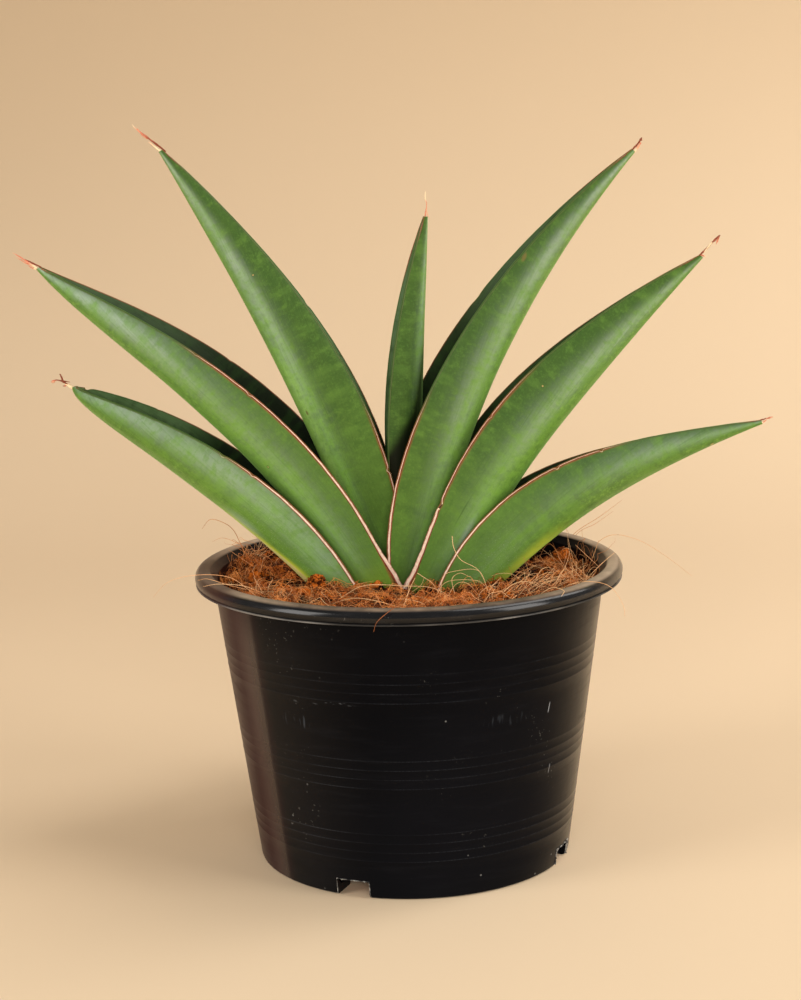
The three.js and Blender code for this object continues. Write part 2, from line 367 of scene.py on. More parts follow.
def potOutline():
    # radius and height of each corner, from the middle of the foot round the lip to the inside's middle
    height, under, middle, lip = pot["height"], pot["lipUnder"], pot["lipMiddle"], pot["lipRadius"]
    foot, pad, groove, deep = pot["footRadius"], pot["padRadius"], pot["grooveRadius"], pot["grooveDepth"]
    line = [(0.01, 0), (pad, 0), (pad + 1.6, deep), (groove, deep), (groove + 1.6, 0), (foot - 1.3, 0),
            (foot - 0.6, 0.12), (foot - 0.1, 0.5), (wallRadius(1.2), 1.2)]
    wide = pot["ringWide"]
    for low in pot["ringGroups"]:
        line.append((wallRadius(low - 5), low - 5))
        for i, share in enumerate(pot["ringShares"]):
            z, lift = low + i * pot["ringPitch"], pot["ringHigh"] * share
            line += [(wallRadius(z - wide / 2), z - wide / 2), (wallRadius(z) + lift, z - wide / 8),
                     (wallRadius(z) + lift, z + wide / 8), (wallRadius(z + wide / 2), z + wide / 2)]
    line += [(wallRadius(z), z) for z in (86, 92, 97, under - 0.3)]
    line += [(wallRadius(under) + 0.3, under), (lip - 1.5, under), (lip - 0.55, under - 0.18),
             (lip - 0.25, under - 0.02), (lip - 0.35, under + 0.2), (lip - 0.75, under + 0.4)]
    level = pot["lipLevel"]
    for degrees in range(-32, 90, 8):  # the lip's rounded face
        a = math.radians(degrees)
        line.append((middle + (lip - middle) * math.cos(a), level + (height - level) * math.sin(a)))
    line += [(middle, height), (70.9, height - 0.03), (70.2, height - 0.1), (69.6, height - 0.4),
             (69.25, height - 0.9)]
    line += [(wallRadius(z) - pot["wall"], z) for z in (height - 3, 90, 60, 30, 5)]
    floor = pot["floor"]
    ledge = floor + deep
    line += [(wallRadius(ledge) - pot["wall"] - 1.6, ledge), (pad + 1.2, ledge), (pad - 1, floor),
             (0.01, floor)]
    return line


def potFinish():
    start = newFinish("blackPlastic")
    at = spot(start)
    height = at.part(2)
    radius = (at.part(0) ** 2 + at.part(1) ** 2) ** 0.5
    turn = at.maths("ARCTAN2", at.part(0), 0 - at.part(1)) * (180 / math.pi)  # degrees round from the front
    leftHalf = turn.ramp(-130, -95)  # nothing at the back, where the degrees start again
    flow = at.noise(9, 4)
    colour = tone(start, paint(5, 6, 9), paint(11, 12, 16), flow.ramp(0.35, 0.7))
    # fine rings left by the tool, broken here and there
    worn = at.noise(26, 3, 0.6).ramp(0.4, 0.66)
    thin = turn.scaled(0.04, 1, 1).noise(1.0, 2).ramp(0.4, 0.62) * 0.5 + turn.ramp(5, -40) * 0.6 + 0.2
    for low in pot["ringGroups"]:
        step = (height - low * mm) / (pot["ringPitch"] * mm)
        ring = step.maths("PINGPONG", step + 8, 0.5).ramp(0.075, 0.025)
        ring = ring * step.ramp(-0.3, -0.2) * step.ramp(3.3, 3.2)
        colour = colour.toward(paint(46, 48, 53), ring * (0.08 + worn * 0.5) * thin)
    # dust: a grey-brown film on the lip's top, thin on the rest
    top = height.ramp(0.1035, 0.1043)
    film = at.noise(190, 5, 0.65).ramp(0.36, 0.72)
    smear = at.noise(32, 3).ramp(0.32, 0.68)
    edgeDust = turn.ramp(-25, -70) * leftHalf * 0.3
    sideDust = turn.maths("ABSOLUTE", turn, 0).ramp(28, 76) * top * (0.35 + smear * 0.35)
    lipWear = height.ramp(0.0993, 0.1000) * at.scaled(1, 1, 5).noise(70, 4, 0.6).ramp(0.5, 0.75)
    flash = radius.ramp(0.0741, 0.0744) * height.ramp(0.0998, 0.0996)
    # pale specks and crumbs
    chosen = at.cells(170, 1).part(0).ramp(0.62, 0.7) * at.noise(16, 2).ramp(0.42, 0.6)
    speck = at.cells(170).ramp(0.075, 0.035) * chosen
    crumbs = at.noise(800, 2, 0.6).ramp(0.66, 0.72) * at.noise(38, 2).ramp(0.6, 0.7)
    colour = colour.layered(
        (paint(144, 124, 106), top * (0.34 + film * 0.3 + smear * 0.3 + edgeDust)),
        (paint(214, 190, 164), sideDust),
        (paint(52, 52, 55), lipWear * 0.25),
        (paint(150, 143, 134), flash * (0.1 + worn * 0.7)),
        (paint(140, 140, 138), speck * 0.6),
        (paint(120, 118, 112), crumbs * 0.3))
    # rubbed patches, rows of dashes and short scratches
    upright = at.scaled(1, 1, 0.12).noise(820, 2).ramp(0.54, 0.68)
    level = at.scaled(1, 1, 9).noise(420, 2).ramp(0.6, 0.7)
    broad = {"dashes": (paint(120, 124, 130), level), "scuff": (paint(74, 80, 88), upright)}
    for degrees, high, wide, tall, sort, force in pot["marks"]:
        side, rise = (turn - degrees) / wide, (height - high * mm) / (tall * mm)
        patch = (side * side + rise * rise).ramp(1, 0.25)
        if sort == "scratch":
            mark = paint(170, 174, 180)
            shape = side.maths("ABSOLUTE", side * 8 - rise * 2.2, 0).ramp(1.4, 0.3)
        else:
            mark, shape = broad[sort]
        colour = colour.toward(mark, patch * shape * force)
    rubbed = at.scaled(1, 1, 8).noise(44, 4, 0.6).ramp(0.5, 0.8)
    colour = colour.layered(
        (paint(26, 27, 31), rubbed * 0.2),
        # painted reflection: a reddish-brown band down the pot's left side
        (paint(54, 26, 28), turn.ramp(-46, -60) * turn.ramp(-120, -85) * 0.7))
    rough = 0.24 + flow * 0.14 + top * 0.35 + speck * 0.3 + rubbed * 0.12
    # gloss at the sides and on the lip, hardly any where the wall faces out
    facing = start.node("LayerWeight", None, {"Blend": 0.5}, 1)
    band = turn.ramp(-50.4, -52.8) * leftHalf
    left = band * (0.3 - 0.29 * facing.ramp(0.4, 0.75) + 0.58 * turn.ramp(-64, -53))
    left = left + turn.ramp(-10, -50) * leftHalf * 0.2 * (1 - band)
    right = facing.ramp(0.34, 0.9) * 0.4
    gloss = (left + (right - left) * at.part(0).ramp(-0.012, 0.012)) * (1 - 0.5 * height.ramp(0.082, 0.097))
    lip = height.ramp(0.0975, 0.0995) * (0.24 + 0.4 * height.ramp(0.0998, 0.1022))
    gloss = gloss.maths("MAXIMUM", gloss, lip * (1 - top) * radius.ramp(0.0708, 0.0716))
    bump = raised(start, at.noise(55, 3), 0.0004, 0.5)
    bump = raised(start, at.scaled(0.25, 0.25, 7).noise(150, 3), 0.00006, 0.5, bump)
    coat = {"Coat Weight": gloss, "Coat Roughness": 0.17, "Coat IOR": 1.6}
    return surface(start, colour, rough, 0.04, {"Normal": bump, **coat})


def buildPot():
    outline = potOutline()
    deselectAll()
    bpy.ops.mesh.primitive_plane_add(size=2 * mm)
    piece = named(bpy.context.object, "pot_shell")
    bpy.ops.object.mode_set(mode="EDIT")
    bpy.ops.mesh.select_mode(type="VERT")
    bpy.ops.mesh.merge(type="CENTER")  # one point left, drawn along the outline
    bpy.ops.transform.translate(value=(outline[0][0] * mm, 0, outline[0][1] * mm))
    for (r0, z0), (r1, z1) in zip(outline, outline[1:]):
        step = ((r1 - r0) * mm, 0, (z1 - z0) * mm)
        bpy.ops.mesh.extrude_vertices_move(TRANSFORM_OT_translate={"value": step})
    bpy.ops.mesh.select_all(action="SELECT")
    bpy.ops.mesh.spin(steps=pot["steps"], angle=2 * math.pi, center=(0, 0, 0), axis=(0, 0, 1))
    bpy.ops.object.mode_set(mode="OBJECT")
    closeSeams(piece, fill=True, reach=2e-5)
    for i in range(pot["slots"]):
        turn = math.radians(pot["slotFirst"] + i * 360 / pot["slots"])
        reach = (pot["footRadius"] + 5 - pot["slotInner"]) * mm
        middle = pot["slotInner"] * mm + reach / 2
        deselectAll()
        bpy.ops.mesh.primitive_cube_add(
            size=1, location=(middle * math.sin(turn), -middle * math.cos(turn), 0), rotation=(0, 0, turn),
            scale=(pot["slotWidth"] * mm, reach, 2 * pot["slotHeight"] * mm))
        cutter = bpy.context.object
        applyModifier(piece, "BOOLEAN", operation="DIFFERENCE", object=cutter, solver="EXACT")
        bpy.data.objects.remove(cutter)
    finishPiece(piece, 32, potFinish(), "pot_plastic", "pot")


def burrFinish():
    start = newFinish("slotBurr")
    worn = spot(start).noise(600, 4, 0.6)
    colour = tone(start, paint(26, 26, 28), paint(176, 172, 164), worn.ramp(0.42, 0.66))
    return surface(start, colour, 0.5 + worn * 0.2, 0.5, {"Normal": raised(start, worn, 0.0002, 0.6)})


def buildSlotBurrs():
    # the torn edge that the cutter left round each slot
    steps, foot = pot["burrSteps"], pot["burrFoot"]
    finish = burrFinish()
    half, tall = pot["slotWidth"] / 2, pot["slotHeight"]
    length = 2 * tall + 2 * half - 2 * foot
    run = np.arange(steps + 1) / steps * length
    rising, falling = run < tall - foot, run > length - tall + foot
    x = np.where(rising, -half, np.where(falling, half, run - tall + foot - half))
    z = np.where(rising, run + foot, np.where(falling, length - run + foot, tall))
    upright = np.abs(x) >= half - 0.01
    for i in range(pot["slots"]):
        turn = math.radians(pot["slotFirst"] + i * 360 / pot["slots"])
        piece, row, column = newGrid(f"pot_slot_burr_{i + 1}", steps, 2)
        ragged = 0.2 + 0.5 * np.abs(ripple(run * 1.9, 40 + i, 6)) ** 1.5
        places = np.zeros((3, steps + 1, 3))
        for layer, (out, flare) in enumerate(((-0.25, 0), (0.05, 0), (ragged * 0.9, 0.28 * ragged))):
            radius = np.sqrt(np.maximum((wallRadius(z) + out) ** 2 - x ** 2, 0))
            spread = x - np.where(upright, np.sign(x) * flare, 0)
            drop = z - np.where(upright, 0, flare)
            places[layer] = np.stack((spread * math.cos(turn) + radius * math.sin(turn),
                                      spread * math.sin(turn) - radius * math.cos(turn), drop), -1)
        movePoints(piece, places[row, column] * mm)
        applyModifier(piece, "SOLIDIFY", thickness=pot["burrThick"] * mm, offset=0)
        finishPiece(piece, 50, finish, "pot_plastic")


buildPot()
buildSlotBurrs()
print("pot turned, slots cut")


coir = {
    "level": 98, "frontRise": 3.2, "cornerDrop": 2.6, "bump": 1.3,
    "columns": 260, "rings": 104, "relief": 1.5,
    # heaps and hollows: x, y, width, height or depth
    "lumps": [(-29, -19, 9, 2.4), (54, 26, 8, 2.2), (-56, 28, 15, 3.4), (14, -50, 9, 1.5),
              (-44, -30, 6, 1.6)],
    "hollows": [(1, -20, 6, 1.6), (-45, -8, 5, 2.6), (-33, -40, 6, 3.0), (64, 6, 5, 2.6), (40, 16, 8, 4.6),
                (38, 2, 7, 4.4), (36, -8, 5, 2.4), (66, 34, 8, 5), (52, 50, 10, 4), (-40, 14, 6, 3.0),
                (-12, -41, 6, 1.6)],
    # round clods that stick together: x, y, z, radius
    "clods": [(-31.8, -18.5, 101.0, 3.2), (-54, 3, 98.6, 3.0), (-43, -20, 98.8, 2.8), (56, 27, 98.8, 3.6),
              (-60.5, 26, 99.4, 2.6), (-23, -22, 95.6, 3.2), (-36, -26, 98.8, 2.8), (32, -43, 99.8, 3.0),
              (-50, 33, 99.6, 3.0)],
    "clodCrumbs": 330, "clodSquash": (1, 1, 0.9),
    "fuzz": 4600, "mat": 900, "long": 120, "looseEnds": 230, "crumbs": 6400,
    "mound": (14, -54, 22),  # x, y and width of a fine bright heap in front
    # loose tufts: strands, x, y, spread in x and y, aim, its spread, lengths, how far they rise
    "tufts": [(100, 37, -31, 6, 4, 0.85, 0.45, (12, 34), (1, 9)),
              (50, 61, 0, 4, 10, 1.9, 0.7, (8, 22), (3, 12)),
              (80, -58, -12, 5, 6, -0.75, 0.35, (16, 40), (0.6, 3.0)),
              (60, -56, 32, 8, 6, 2.2, 1.0, (8, 22), (2, 10)),
              (60, -36, -18, 12, 8, -0.3, 0.9, (10, 30), (0.6, 3.5))],
    "reach": 66.3, "insideLip": 67, "overLip": 74,  # how far out strands lie, and above the lip
    "seed": 21,
}


def soilHeight(x, y):
    radius = np.maximum(np.hypot(x, y), 1)  # heaped in front, lower behind on the right
    corner = np.maximum(0, (0.6 * x + 0.8 * y) / radius) ** 4
    edge = (coir["frontRise"] * y / radius + coir["cornerDrop"] * corner) * smooth((radius - 34) / 30)
    relief = (np.sin(x * 0.31 + 1.7) * np.cos(y * 0.27) + 0.6 * np.sin(x * 0.62 - y * 0.55 + 0.8)
              + 0.45 * np.sin(x * 0.95 + y * 1.1))
    return coir["level"] - edge + coir["bump"] * relief * 0.6


def heap(x, y, middleX, middleY, wide, steep=1.0):
    return bell(np.hypot(x - middleX, y - middleY) / wide * steep)


def soilNoise(x, y, scale, layer, maker):
    # noise over the soil, from a function of one point
    spots = [maker(Vector((a * scale, b * scale, layer))) for a, b in zip(x.ravel(), y.ravel())]
    return np.array(spots).reshape(x.shape)


def clump(x, y):
    # broad lumps, from about -1 to 1, that the bed and the strands on it share
    return soilNoise(x, y, 0.17, 5.3, lambda point: noise.fractal(point, 0.8, 2.0, 3))


def sinking(x, y):
    # how deep the hollows are, in millimetres
    depth = np.zeros(x.shape)
    for middleX, middleY, wide, deep in coir["hollows"]:
        depth = depth + deep * heap(x, y, middleX, middleY, wide, 1.3)
    return depth


def sunken(x, y):
    # 1 where strands and crumbs lie in a hollow
    return smooth((sinking(x, y) - 0.3) / 1.5)


def crumbHeight(x, y):
    # the soil's level with its larger lumps and hollows
    z = soilHeight(x, y) + 2.0 * clump(x, y) - 0.4
    for middleX, middleY, wide, high in coir["lumps"]:
        z = z + high * heap(x, y, middleX, middleY, wide, 1.4)
    return z - sinking(x, y)


def crumble(x, y):
    # small lumps and pits on top of that, in millimetres
    lump = soilNoise(x, y, 0.3, 3.1, lambda point: noise.fractal(point, 0.85, 2.1, 5))
    pit = soilNoise(x, y, 0.55, 9.7, noise.noise)
    return coir["relief"] * (lump * 1.3 - 0.5) - 4.4 * np.maximum(pit - 0.08, 0)


def coirFinish():
    start = newFinish("coirBed")
    at = spot(start)
    lumps = at.noise(380, 6, 0.7)
    broad = at.noise(48, 3)
    colour = tone(start, paint(64, 24, 5), paint(204, 108, 36), lumps.ramp(0.37, 0.58))
    colour = colour.toward(paint(240, 156, 66), lumps.ramp(0.54, 0.72) * broad.ramp(0.36, 0.6) * 0.9)
    hair = at.scaled(1, 1, 0.4).noise(1300, 3, 0.6)
    colour = colour.toward(paint(232, 158, 98), hair.ramp(0.6, 0.74) * 0.4)
    # painted shade: the bed turns near black in its pits and hollows
    low = spot(start, "pit").part(0)
    colour = colour.toward(paint(10, 3, 1), (low + (0.5 - lumps) * 0.6).ramp(0.1, 0.42))
    bump = raised(start, lumps, 0.0009, 0.9)
    bump = raised(start, hair, 0.0003, 0.7, bump)
    return surface(start, colour, 0.95, 0.15, {"Normal": bump})


def buildCoirBed():
    columns, rings = coir["columns"], coir["rings"]
    piece, row, column = newGrid("coir_bed", columns, rings + 3)
    turn = column / columns * 2 * math.pi
    outer = wallRadius(95) - pot["wall"] - 0.25
    radius = outer * np.clip(row / rings, 0, 1) ** 0.8
    x, y = radius * np.cos(turn), radius * np.sin(turn)
    rise = crumble(x, y)
    z = crumbHeight(x, y) + rise * smooth((outer - radius) / 3 + 0.3)
    under = ((wallRadius(50) - pot["wall"] - 0.3, 50), (52.0, 5.0), (0.0, 3.5))
    for extra, (r, low) in enumerate(under):
        last = row == rings + 1 + extra
        x = np.where(last, r * np.cos(turn), x)
        y = np.where(last, r * np.sin(turn), y)
        z = np.where(last, low, z)
    movePoints(piece, np.stack((x, y, z), -1) * mm)
    # painted shade: pit rises in the small pits and the hollows, less in the bright patch in front
    sunk = np.maximum(soilHeight(x, y) - crumbHeight(x, y) - 0.5, 0) / 2.2 + smooth(sinking(x, y) / 1.8)
    mound = heap(x, y, *coir["mound"])
    pit = np.clip(-rise / 1.7 + sunk, 0, 1) * (row <= rings) * (1 - 0.5 * mound) - 0.12 * mound
    store(piece, "pit", pit, 0, 0)
    closeSeams(piece, fill=False, reach=1e-6)
    finishPiece(piece, 70, coirFinish(), "coir_fibre", "coir")


def fibreFinish(name, dark, mid, pale):
    # a strand's own shade runs from dark to pale
    start = newFinish(name)
    shade = spot(start, "strand").part(0)
    streak = spot(start).noise(900, 2)
    colour = tone(start, dark, mid, shade.ramp(0.0, 0.5))
    colour = colour.toward(pale, shade.ramp(0.45, 1.0))
    colour = colour.toward(dark, streak.ramp(0.58, 0.8) * 0.5)
    return surface(start, colour, 0.6, 0.3, {"Normal": raised(start, streak, 0.0001, 0.4)})


def meshPiece(name, places, faces):
    mesh = bpy.data.meshes.new(name)
    mesh.from_pydata((places.reshape(-1, 3) * mm).tolist(), [], faces)
    piece = bpy.data.objects.new(name, mesh)
    bpy.context.scene.collection.objects.link(piece)
    return piece


def strandPiece(name, paths, radii, shades, finish, slotName="coir_fibre", sides=3, flat=1.0, *nodes):
    # all the strands go straight into one mesh: paths holds strands x points x 3
    count, points = paths.shape[:2]
    run = unit(np.gradient(paths, axis=1))
    aside = unit(np.cross(run, np.array((0.31, 0.22, 0.92))))
    above = np.cross(aside, run) * flat
    angle = np.arange(sides) * 2 * math.pi / sides
    ring = aside[:, :, None, :] * np.cos(angle)[:, None] + above[:, :, None, :] * np.sin(angle)[:, None]
    places = paths[:, :, None, :] + ring * radii[:, :, None, None]
    base = np.arange(count * points).reshape(count, points)[:, :-1, None] * sides
    corner = np.arange(sides)
    after = (corner + 1) % sides
    walls = np.stack((base + corner, base + after, base + sides + after, base + sides + corner), -1)
    first = (np.arange(count) * points * sides)[:, None] + corner[::-1]
    last = ((np.arange(count) * points + points - 1) * sides)[:, None] + corner
    piece = meshPiece(name, places, walls.reshape(-1, 4).tolist() + first.tolist() + last.tolist())
    shades = shades if shades.ndim == 2 else np.repeat(shades[:, None], points, 1)
    along = np.repeat(np.linspace(0, 1, points)[None], count, 0)
    store(piece, "strand", np.repeat(shades.ravel(), sides), np.repeat(along.ravel(), sides), 0)
    finishPiece(piece, 80, finish, slotName, *nodes)


def layStrands(chance, count, points, length, curl, lift, tuck, around=0.0, inner=0.02):
    # strands that lie on the soil: they bend as they run, rise in the middle and dip in at the ends
    share = np.linspace(0, 1, points)[None, :]
    turn = chance.uniform(0, 2 * math.pi, (count, 1))
    radius = coir["reach"] * np.sqrt(chance.uniform(inner, 1.0, (count, 1)))
    heading = chance.uniform(0, 2 * math.pi, (count, 1)) * (1 - around) + (turn + math.pi / 2) * around
    heading = heading + chance.normal(0, 0.4, (count, 1))
    long = chance.uniform(*length, (count, 1))
    bend = chance.normal(0, curl, (count, 1))
    sway = chance.uniform(0, 6.3, (count, 1))
    wave = np.sin(share * chance.uniform(4, 11, (count, 1)) + sway)
    direction = heading + bend * share + 0.5 * curl * wave
    step = long / (points - 1)
    x = radius * np.cos(turn) + np.cumsum(np.cos(direction) * step, 1)
    y = radius * np.sin(turn) + np.cumsum(np.sin(direction) * step, 1)
    pull = np.minimum(1, coir["reach"] / np.maximum(np.hypot(x, y), 1e-6))
    x, y = x * pull, y * pull
    arch = np.sin(math.pi * share)
    rise = chance.uniform(*lift, (count, 1)) * arch ** 0.8
    rise = rise + 0.35 * lift[1] * np.sin(share * chance.uniform(5, 12, (count, 1)) + sway) * arch
    z = crumbHeight(x, y) + 0.2 + rise - tuck * np.abs(2 * share - 1) ** 3
    buried = chance.uniform(0, 1, (count, 1)) < 0.72  # few strands cross a hollow
    middle = slice(points // 2, points // 2 + 1)
    z = z - 3.4 * buried * smooth((sinking(x[:, middle], y[:, middle]) - 0.5) / 1.3)
    return np.stack((x, y, z), -1)


def shadeBy(paths, shades, force):
    # painted shade: strands in the hollows between lumps are darker
    x, y = paths[:, paths.shape[1] // 2, 0], paths[:, paths.shape[1] // 2, 1]
    sunk = sunken(x, y)
    shades = shades * (1 - force * 0.3) + force * clump(x, y) + 0.25 * heap(x, y, *coir["mound"])
    return np.clip(shades * (1 - 0.8 * sunk) - 0.3 * sunk, 0, 1)


def taper(count, points, thick, chance, end=0.4):
    share = np.linspace(0, 1, points)[None, :]
    body = chance.uniform(thick[0], thick[1], (count, 1))
    return body * (end + (1 - end) * np.sin(math.pi * np.clip(share, 0.04, 0.96)) ** 0.6)


# stray hairs that stand clear of the soil: places in millimetres, thickness and shade
strays = [
    ([(-56, 30, 97), (-60, 29, 103), (-63, 26, 111), (-66, 22, 115), (-71, 20, 117), (-74, 18, 114)],
     0.15, 0.5),
    ([(-54, 36, 97), (-62, 36, 104), (-68, 35, 107), (-72, 34, 106)], 0.1, 0.6),
    ([(-56, -20, 100), (-62, -25, 103), (-68, -29, 106), (-71, -33, 106.5)], 0.11, 0.75),
    ([(-49, -24, 99), (-56, -28, 103), (-64, -31, 104.6), (-69, -35, 104.8)], 0.12, 0.9),
    ([(-48, -40, 99), (-54, -37, 104), (-61, -31, 107), (-72, -27, 107), (-82, -23, 104), (-88, -20, 98)],
     0.1, 0.7),
    ([(14.9, -29, 118.8), (15.4, -29.6, 114.8), (17.7, -30.2, 110.7), (23.7, -31.4, 107), (27.4, -32, 98)],
     0.12, 1.0),
    ([(8.6, -31, 98), (12.5, -31.6, 103.5), (21.2, -32.8, 104.3), (25.2, -33.4, 102.6), (28, -34, 97)],
     0.1, 0.9),
    ([(10.5, -30, 98), (11.5, -30, 104.9), (15.6, -30.6, 107), (23.6, -31.8, 107.1), (27, -32.4, 99)],
     0.11, 0.95),
    ([(12.4, -33, 98), (15.8, -33.6, 103.2), (19.8, -34.2, 103.3), (24.4, -34.8, 98)], 0.12, 0.8),
    ([(2.8, -27, 105.9), (5.4, -27.6, 104.2), (8.1, -28.2, 102.2), (11.2, -28.8, 97)], 0.12, 0.9),
    ([(0, -24, 101.8), (-0.4, -24.6, 98.8), (-1.6, -25.2, 95)], 0.11, 1.0),
    ([(-4.4, -26, 95), (-0.1, -26.6, 98.5), (4, -27.2, 101.7), (5.1, -27.8, 104.3)], 0.11, 0.8),
    ([(15.8, -30, 97), (14.5, -30.6, 104), (17.2, -31.2, 106.4), (20.6, -31.8, 105.1)], 0.11, 1.0),
    ([(-24, -34, 99), (-15, -36, 104), (-2, -38, 104), (8, -38, 103), (16, -41, 99)], 0.15, 0.95),
    ([(2, -57, 100), (0, -65, 106.5), (-3, -72, 106.2), (-8, -76.4, 103.6), (-10.7, -76.8, 101),
      (-11.6, -76, 98)], 0.17, 0.14),
    ([(54, 36, 97), (62, 39, 105), (71, 42, 110), (80, 44, 116)], 0.12, 0.55),
    ([(57, 38, 96), (63, 42, 104), (70, 45, 107), (77, 48, 111)], 0.11, 0.45),
    ([(60, 26, 96), (66, 27, 101), (74, 28, 106), (84, 28, 104), (94, 26, 98), (103, 24, 91)], 0.12, 0.8),
    ([(46, -40, 99), (53, -44, 104.5), (60, -47, 106), (66, -50, 104.8), (70, -50, 99), (71, -48, 94)],
     0.1, 0.8),
    ([(62, 26, 94), (64, 30, 101), (64, 34, 107)], 0.12, 0.85),
    ([(63, 8, 96), (66, 9, 103), (68, 10, 108)], 0.12, 0.7),
    ([(29, -36, 98), (35, -33, 102.5), (41, -31, 102.5), (48, -30, 98)], 0.14, 0.9),
    ([(-3, -62, 100), (0, -53, 106), (2, -46, 108.5)], 0.13, 0.8),
    ([(-28, -43, 99), (-19, -50, 103), (-11, -56, 103.4), (-3, -60, 102), (6, -58, 100)], 0.16, 0.9),
    ([(48, 30, 95), (56, 33, 100), (60, 40, 103), (58, 46, 107)], 0.11, 0.6),
    ([(58, -22, 98), (63, -20, 103), (68, -16, 106.5), (72, -10, 108)], 0.09, 0.8),
    ([(40, -48, 100), (46, -53, 105.5), (50, -59, 106), (49, -62, 104.8)], 0.13, 0.95),
]


def buildFibres():
    chance = np.random.default_rng(coir["seed"])
    rust = fibreFinish("rustFibre", paint(46, 15, 4), paint(198, 100, 35), paint(236, 152, 80))
    straw = fibreFinish("strawFibre", paint(112, 54, 22), paint(206, 132, 76), paint(242, 194, 142))
    for layer, lift in enumerate(((0.0, 0.9), (0.2, 1.8))):
        count = coir["fuzz"]
        fuzz = layStrands(chance, count, 6, (2.5, 7), 2.4, lift, 0.7)
        strandPiece(f"coir_fuzz_{layer + 1}", fuzz, taper(count, 6, (0.04, 0.085), chance),
                    shadeBy(fuzz, chance.uniform(0, 1, count) ** 1.7, 1.6), rust)
    count = coir["mat"]
    mat = layStrands(chance, count, 12, (8, 24), 0.6, (0.3, 2.6), 1.1)
    strandPiece("coir_mat", mat, taper(count, 12, (0.045, 0.085), chance),
                shadeBy(mat, chance.uniform(0.0, 0.95, count), 1.2), rust)
    count = coir["long"]
    long = layStrands(chance, count, 28, (20, 56), 0.5, (0.6, 4.2), 1.4, 0.45, 0.35)
    strandPiece("coir_long_strands", long, taper(count, 28, (0.06, 0.11), chance),
                chance.uniform(0.0, 0.85, count), straw)
    # loose tufts of nearly straight hairs: they fan out, and some rise clear of the soil
    points = 14
    share = np.linspace(0, 1, points)[None, :]
    for tuft, (count, x, y, wide, deep, aim, fan, reach, lift) in enumerate(coir["tufts"]):
        heading = chance.normal(aim, fan, (count, 1)) + chance.normal(0, 0.35, (count, 1)) * share
        long = chance.uniform(*reach, (count, 1))
        x = x + chance.normal(0, wide, (count, 1)) + np.cumsum(np.cos(heading) * long / (points - 1), 1)
        y = y + chance.normal(0, deep, (count, 1)) + np.cumsum(np.sin(heading) * long / (points - 1), 1)
        rise = lift[0] + (lift[1] - lift[0]) * chance.uniform(0, 1, (count, 1)) ** 2
        arched = chance.uniform(0, 1, (count, 1)) < 0.55
        z = crumbHeight(x[:, :1], y[:, :1]) - 0.6
        z = z + rise * np.where(arched, np.sin(math.pi * share * 0.9), share ** 1.2)
        z = np.maximum(z, crumbHeight(x, y) + 0.1 - 0.8 * (1 - np.sin(math.pi * share)))
        pull = np.minimum(1, np.where(z > 105.2, coir["overLip"], coir["insideLip"]) / np.hypot(x, y))
        strandPiece(f"coir_tuft_{tuft + 1}", np.stack((x * pull, y * pull, z), -1),
                    taper(count, points, (0.05, 0.09), chance), chance.uniform(0.15, 1, count), straw)
    # loose ends that stand up round the edge
    count = coir["looseEnds"]
    turn = chance.uniform(0, 2 * math.pi, (count, 1))
    base = coir["reach"] * chance.uniform(0.8, 0.99, (count, 1))
    reach = chance.uniform(2, 9, (count, 1))
    lean = chance.uniform(-0.9, 0.45, (count, 1)) * reach
    drift = chance.normal(0, 4.5, (count, 1)) * share + 1.2 * np.sin(share * 6 + turn * 9)
    z = soilHeight(base * np.cos(turn), base * np.sin(turn)) - 1
    z = z + (reach + 2) * share ** 0.8 - 2.2 * share ** 3
    out = np.minimum(base + lean * share, np.where(z > 105.4, coir["overLip"], coir["insideLip"]))
    x = out * np.cos(turn) - drift * np.sin(turn)
    y = out * np.sin(turn) + drift * np.cos(turn)
    pull = np.where(z > 105.4, 1, np.minimum(1, coir["insideLip"] / np.hypot(x, y)))
    strandPiece("coir_loose_ends", np.stack((x * pull, y * pull, z), -1),
                taper(count, points, (0.045, 0.08), chance, 0.3), chance.uniform(0.1, 1, count), straw)
    points = 30
    lines, thick, shades = zip(*strays)
    width = np.array(thick)[:, None] * (1 - 0.6 * np.linspace(0, 1, points)[None, :] ** 2)
    strandPiece("coir_strays", np.stack([curveThrough(line, points) for line in lines]), width,
                np.array(shades), straw)


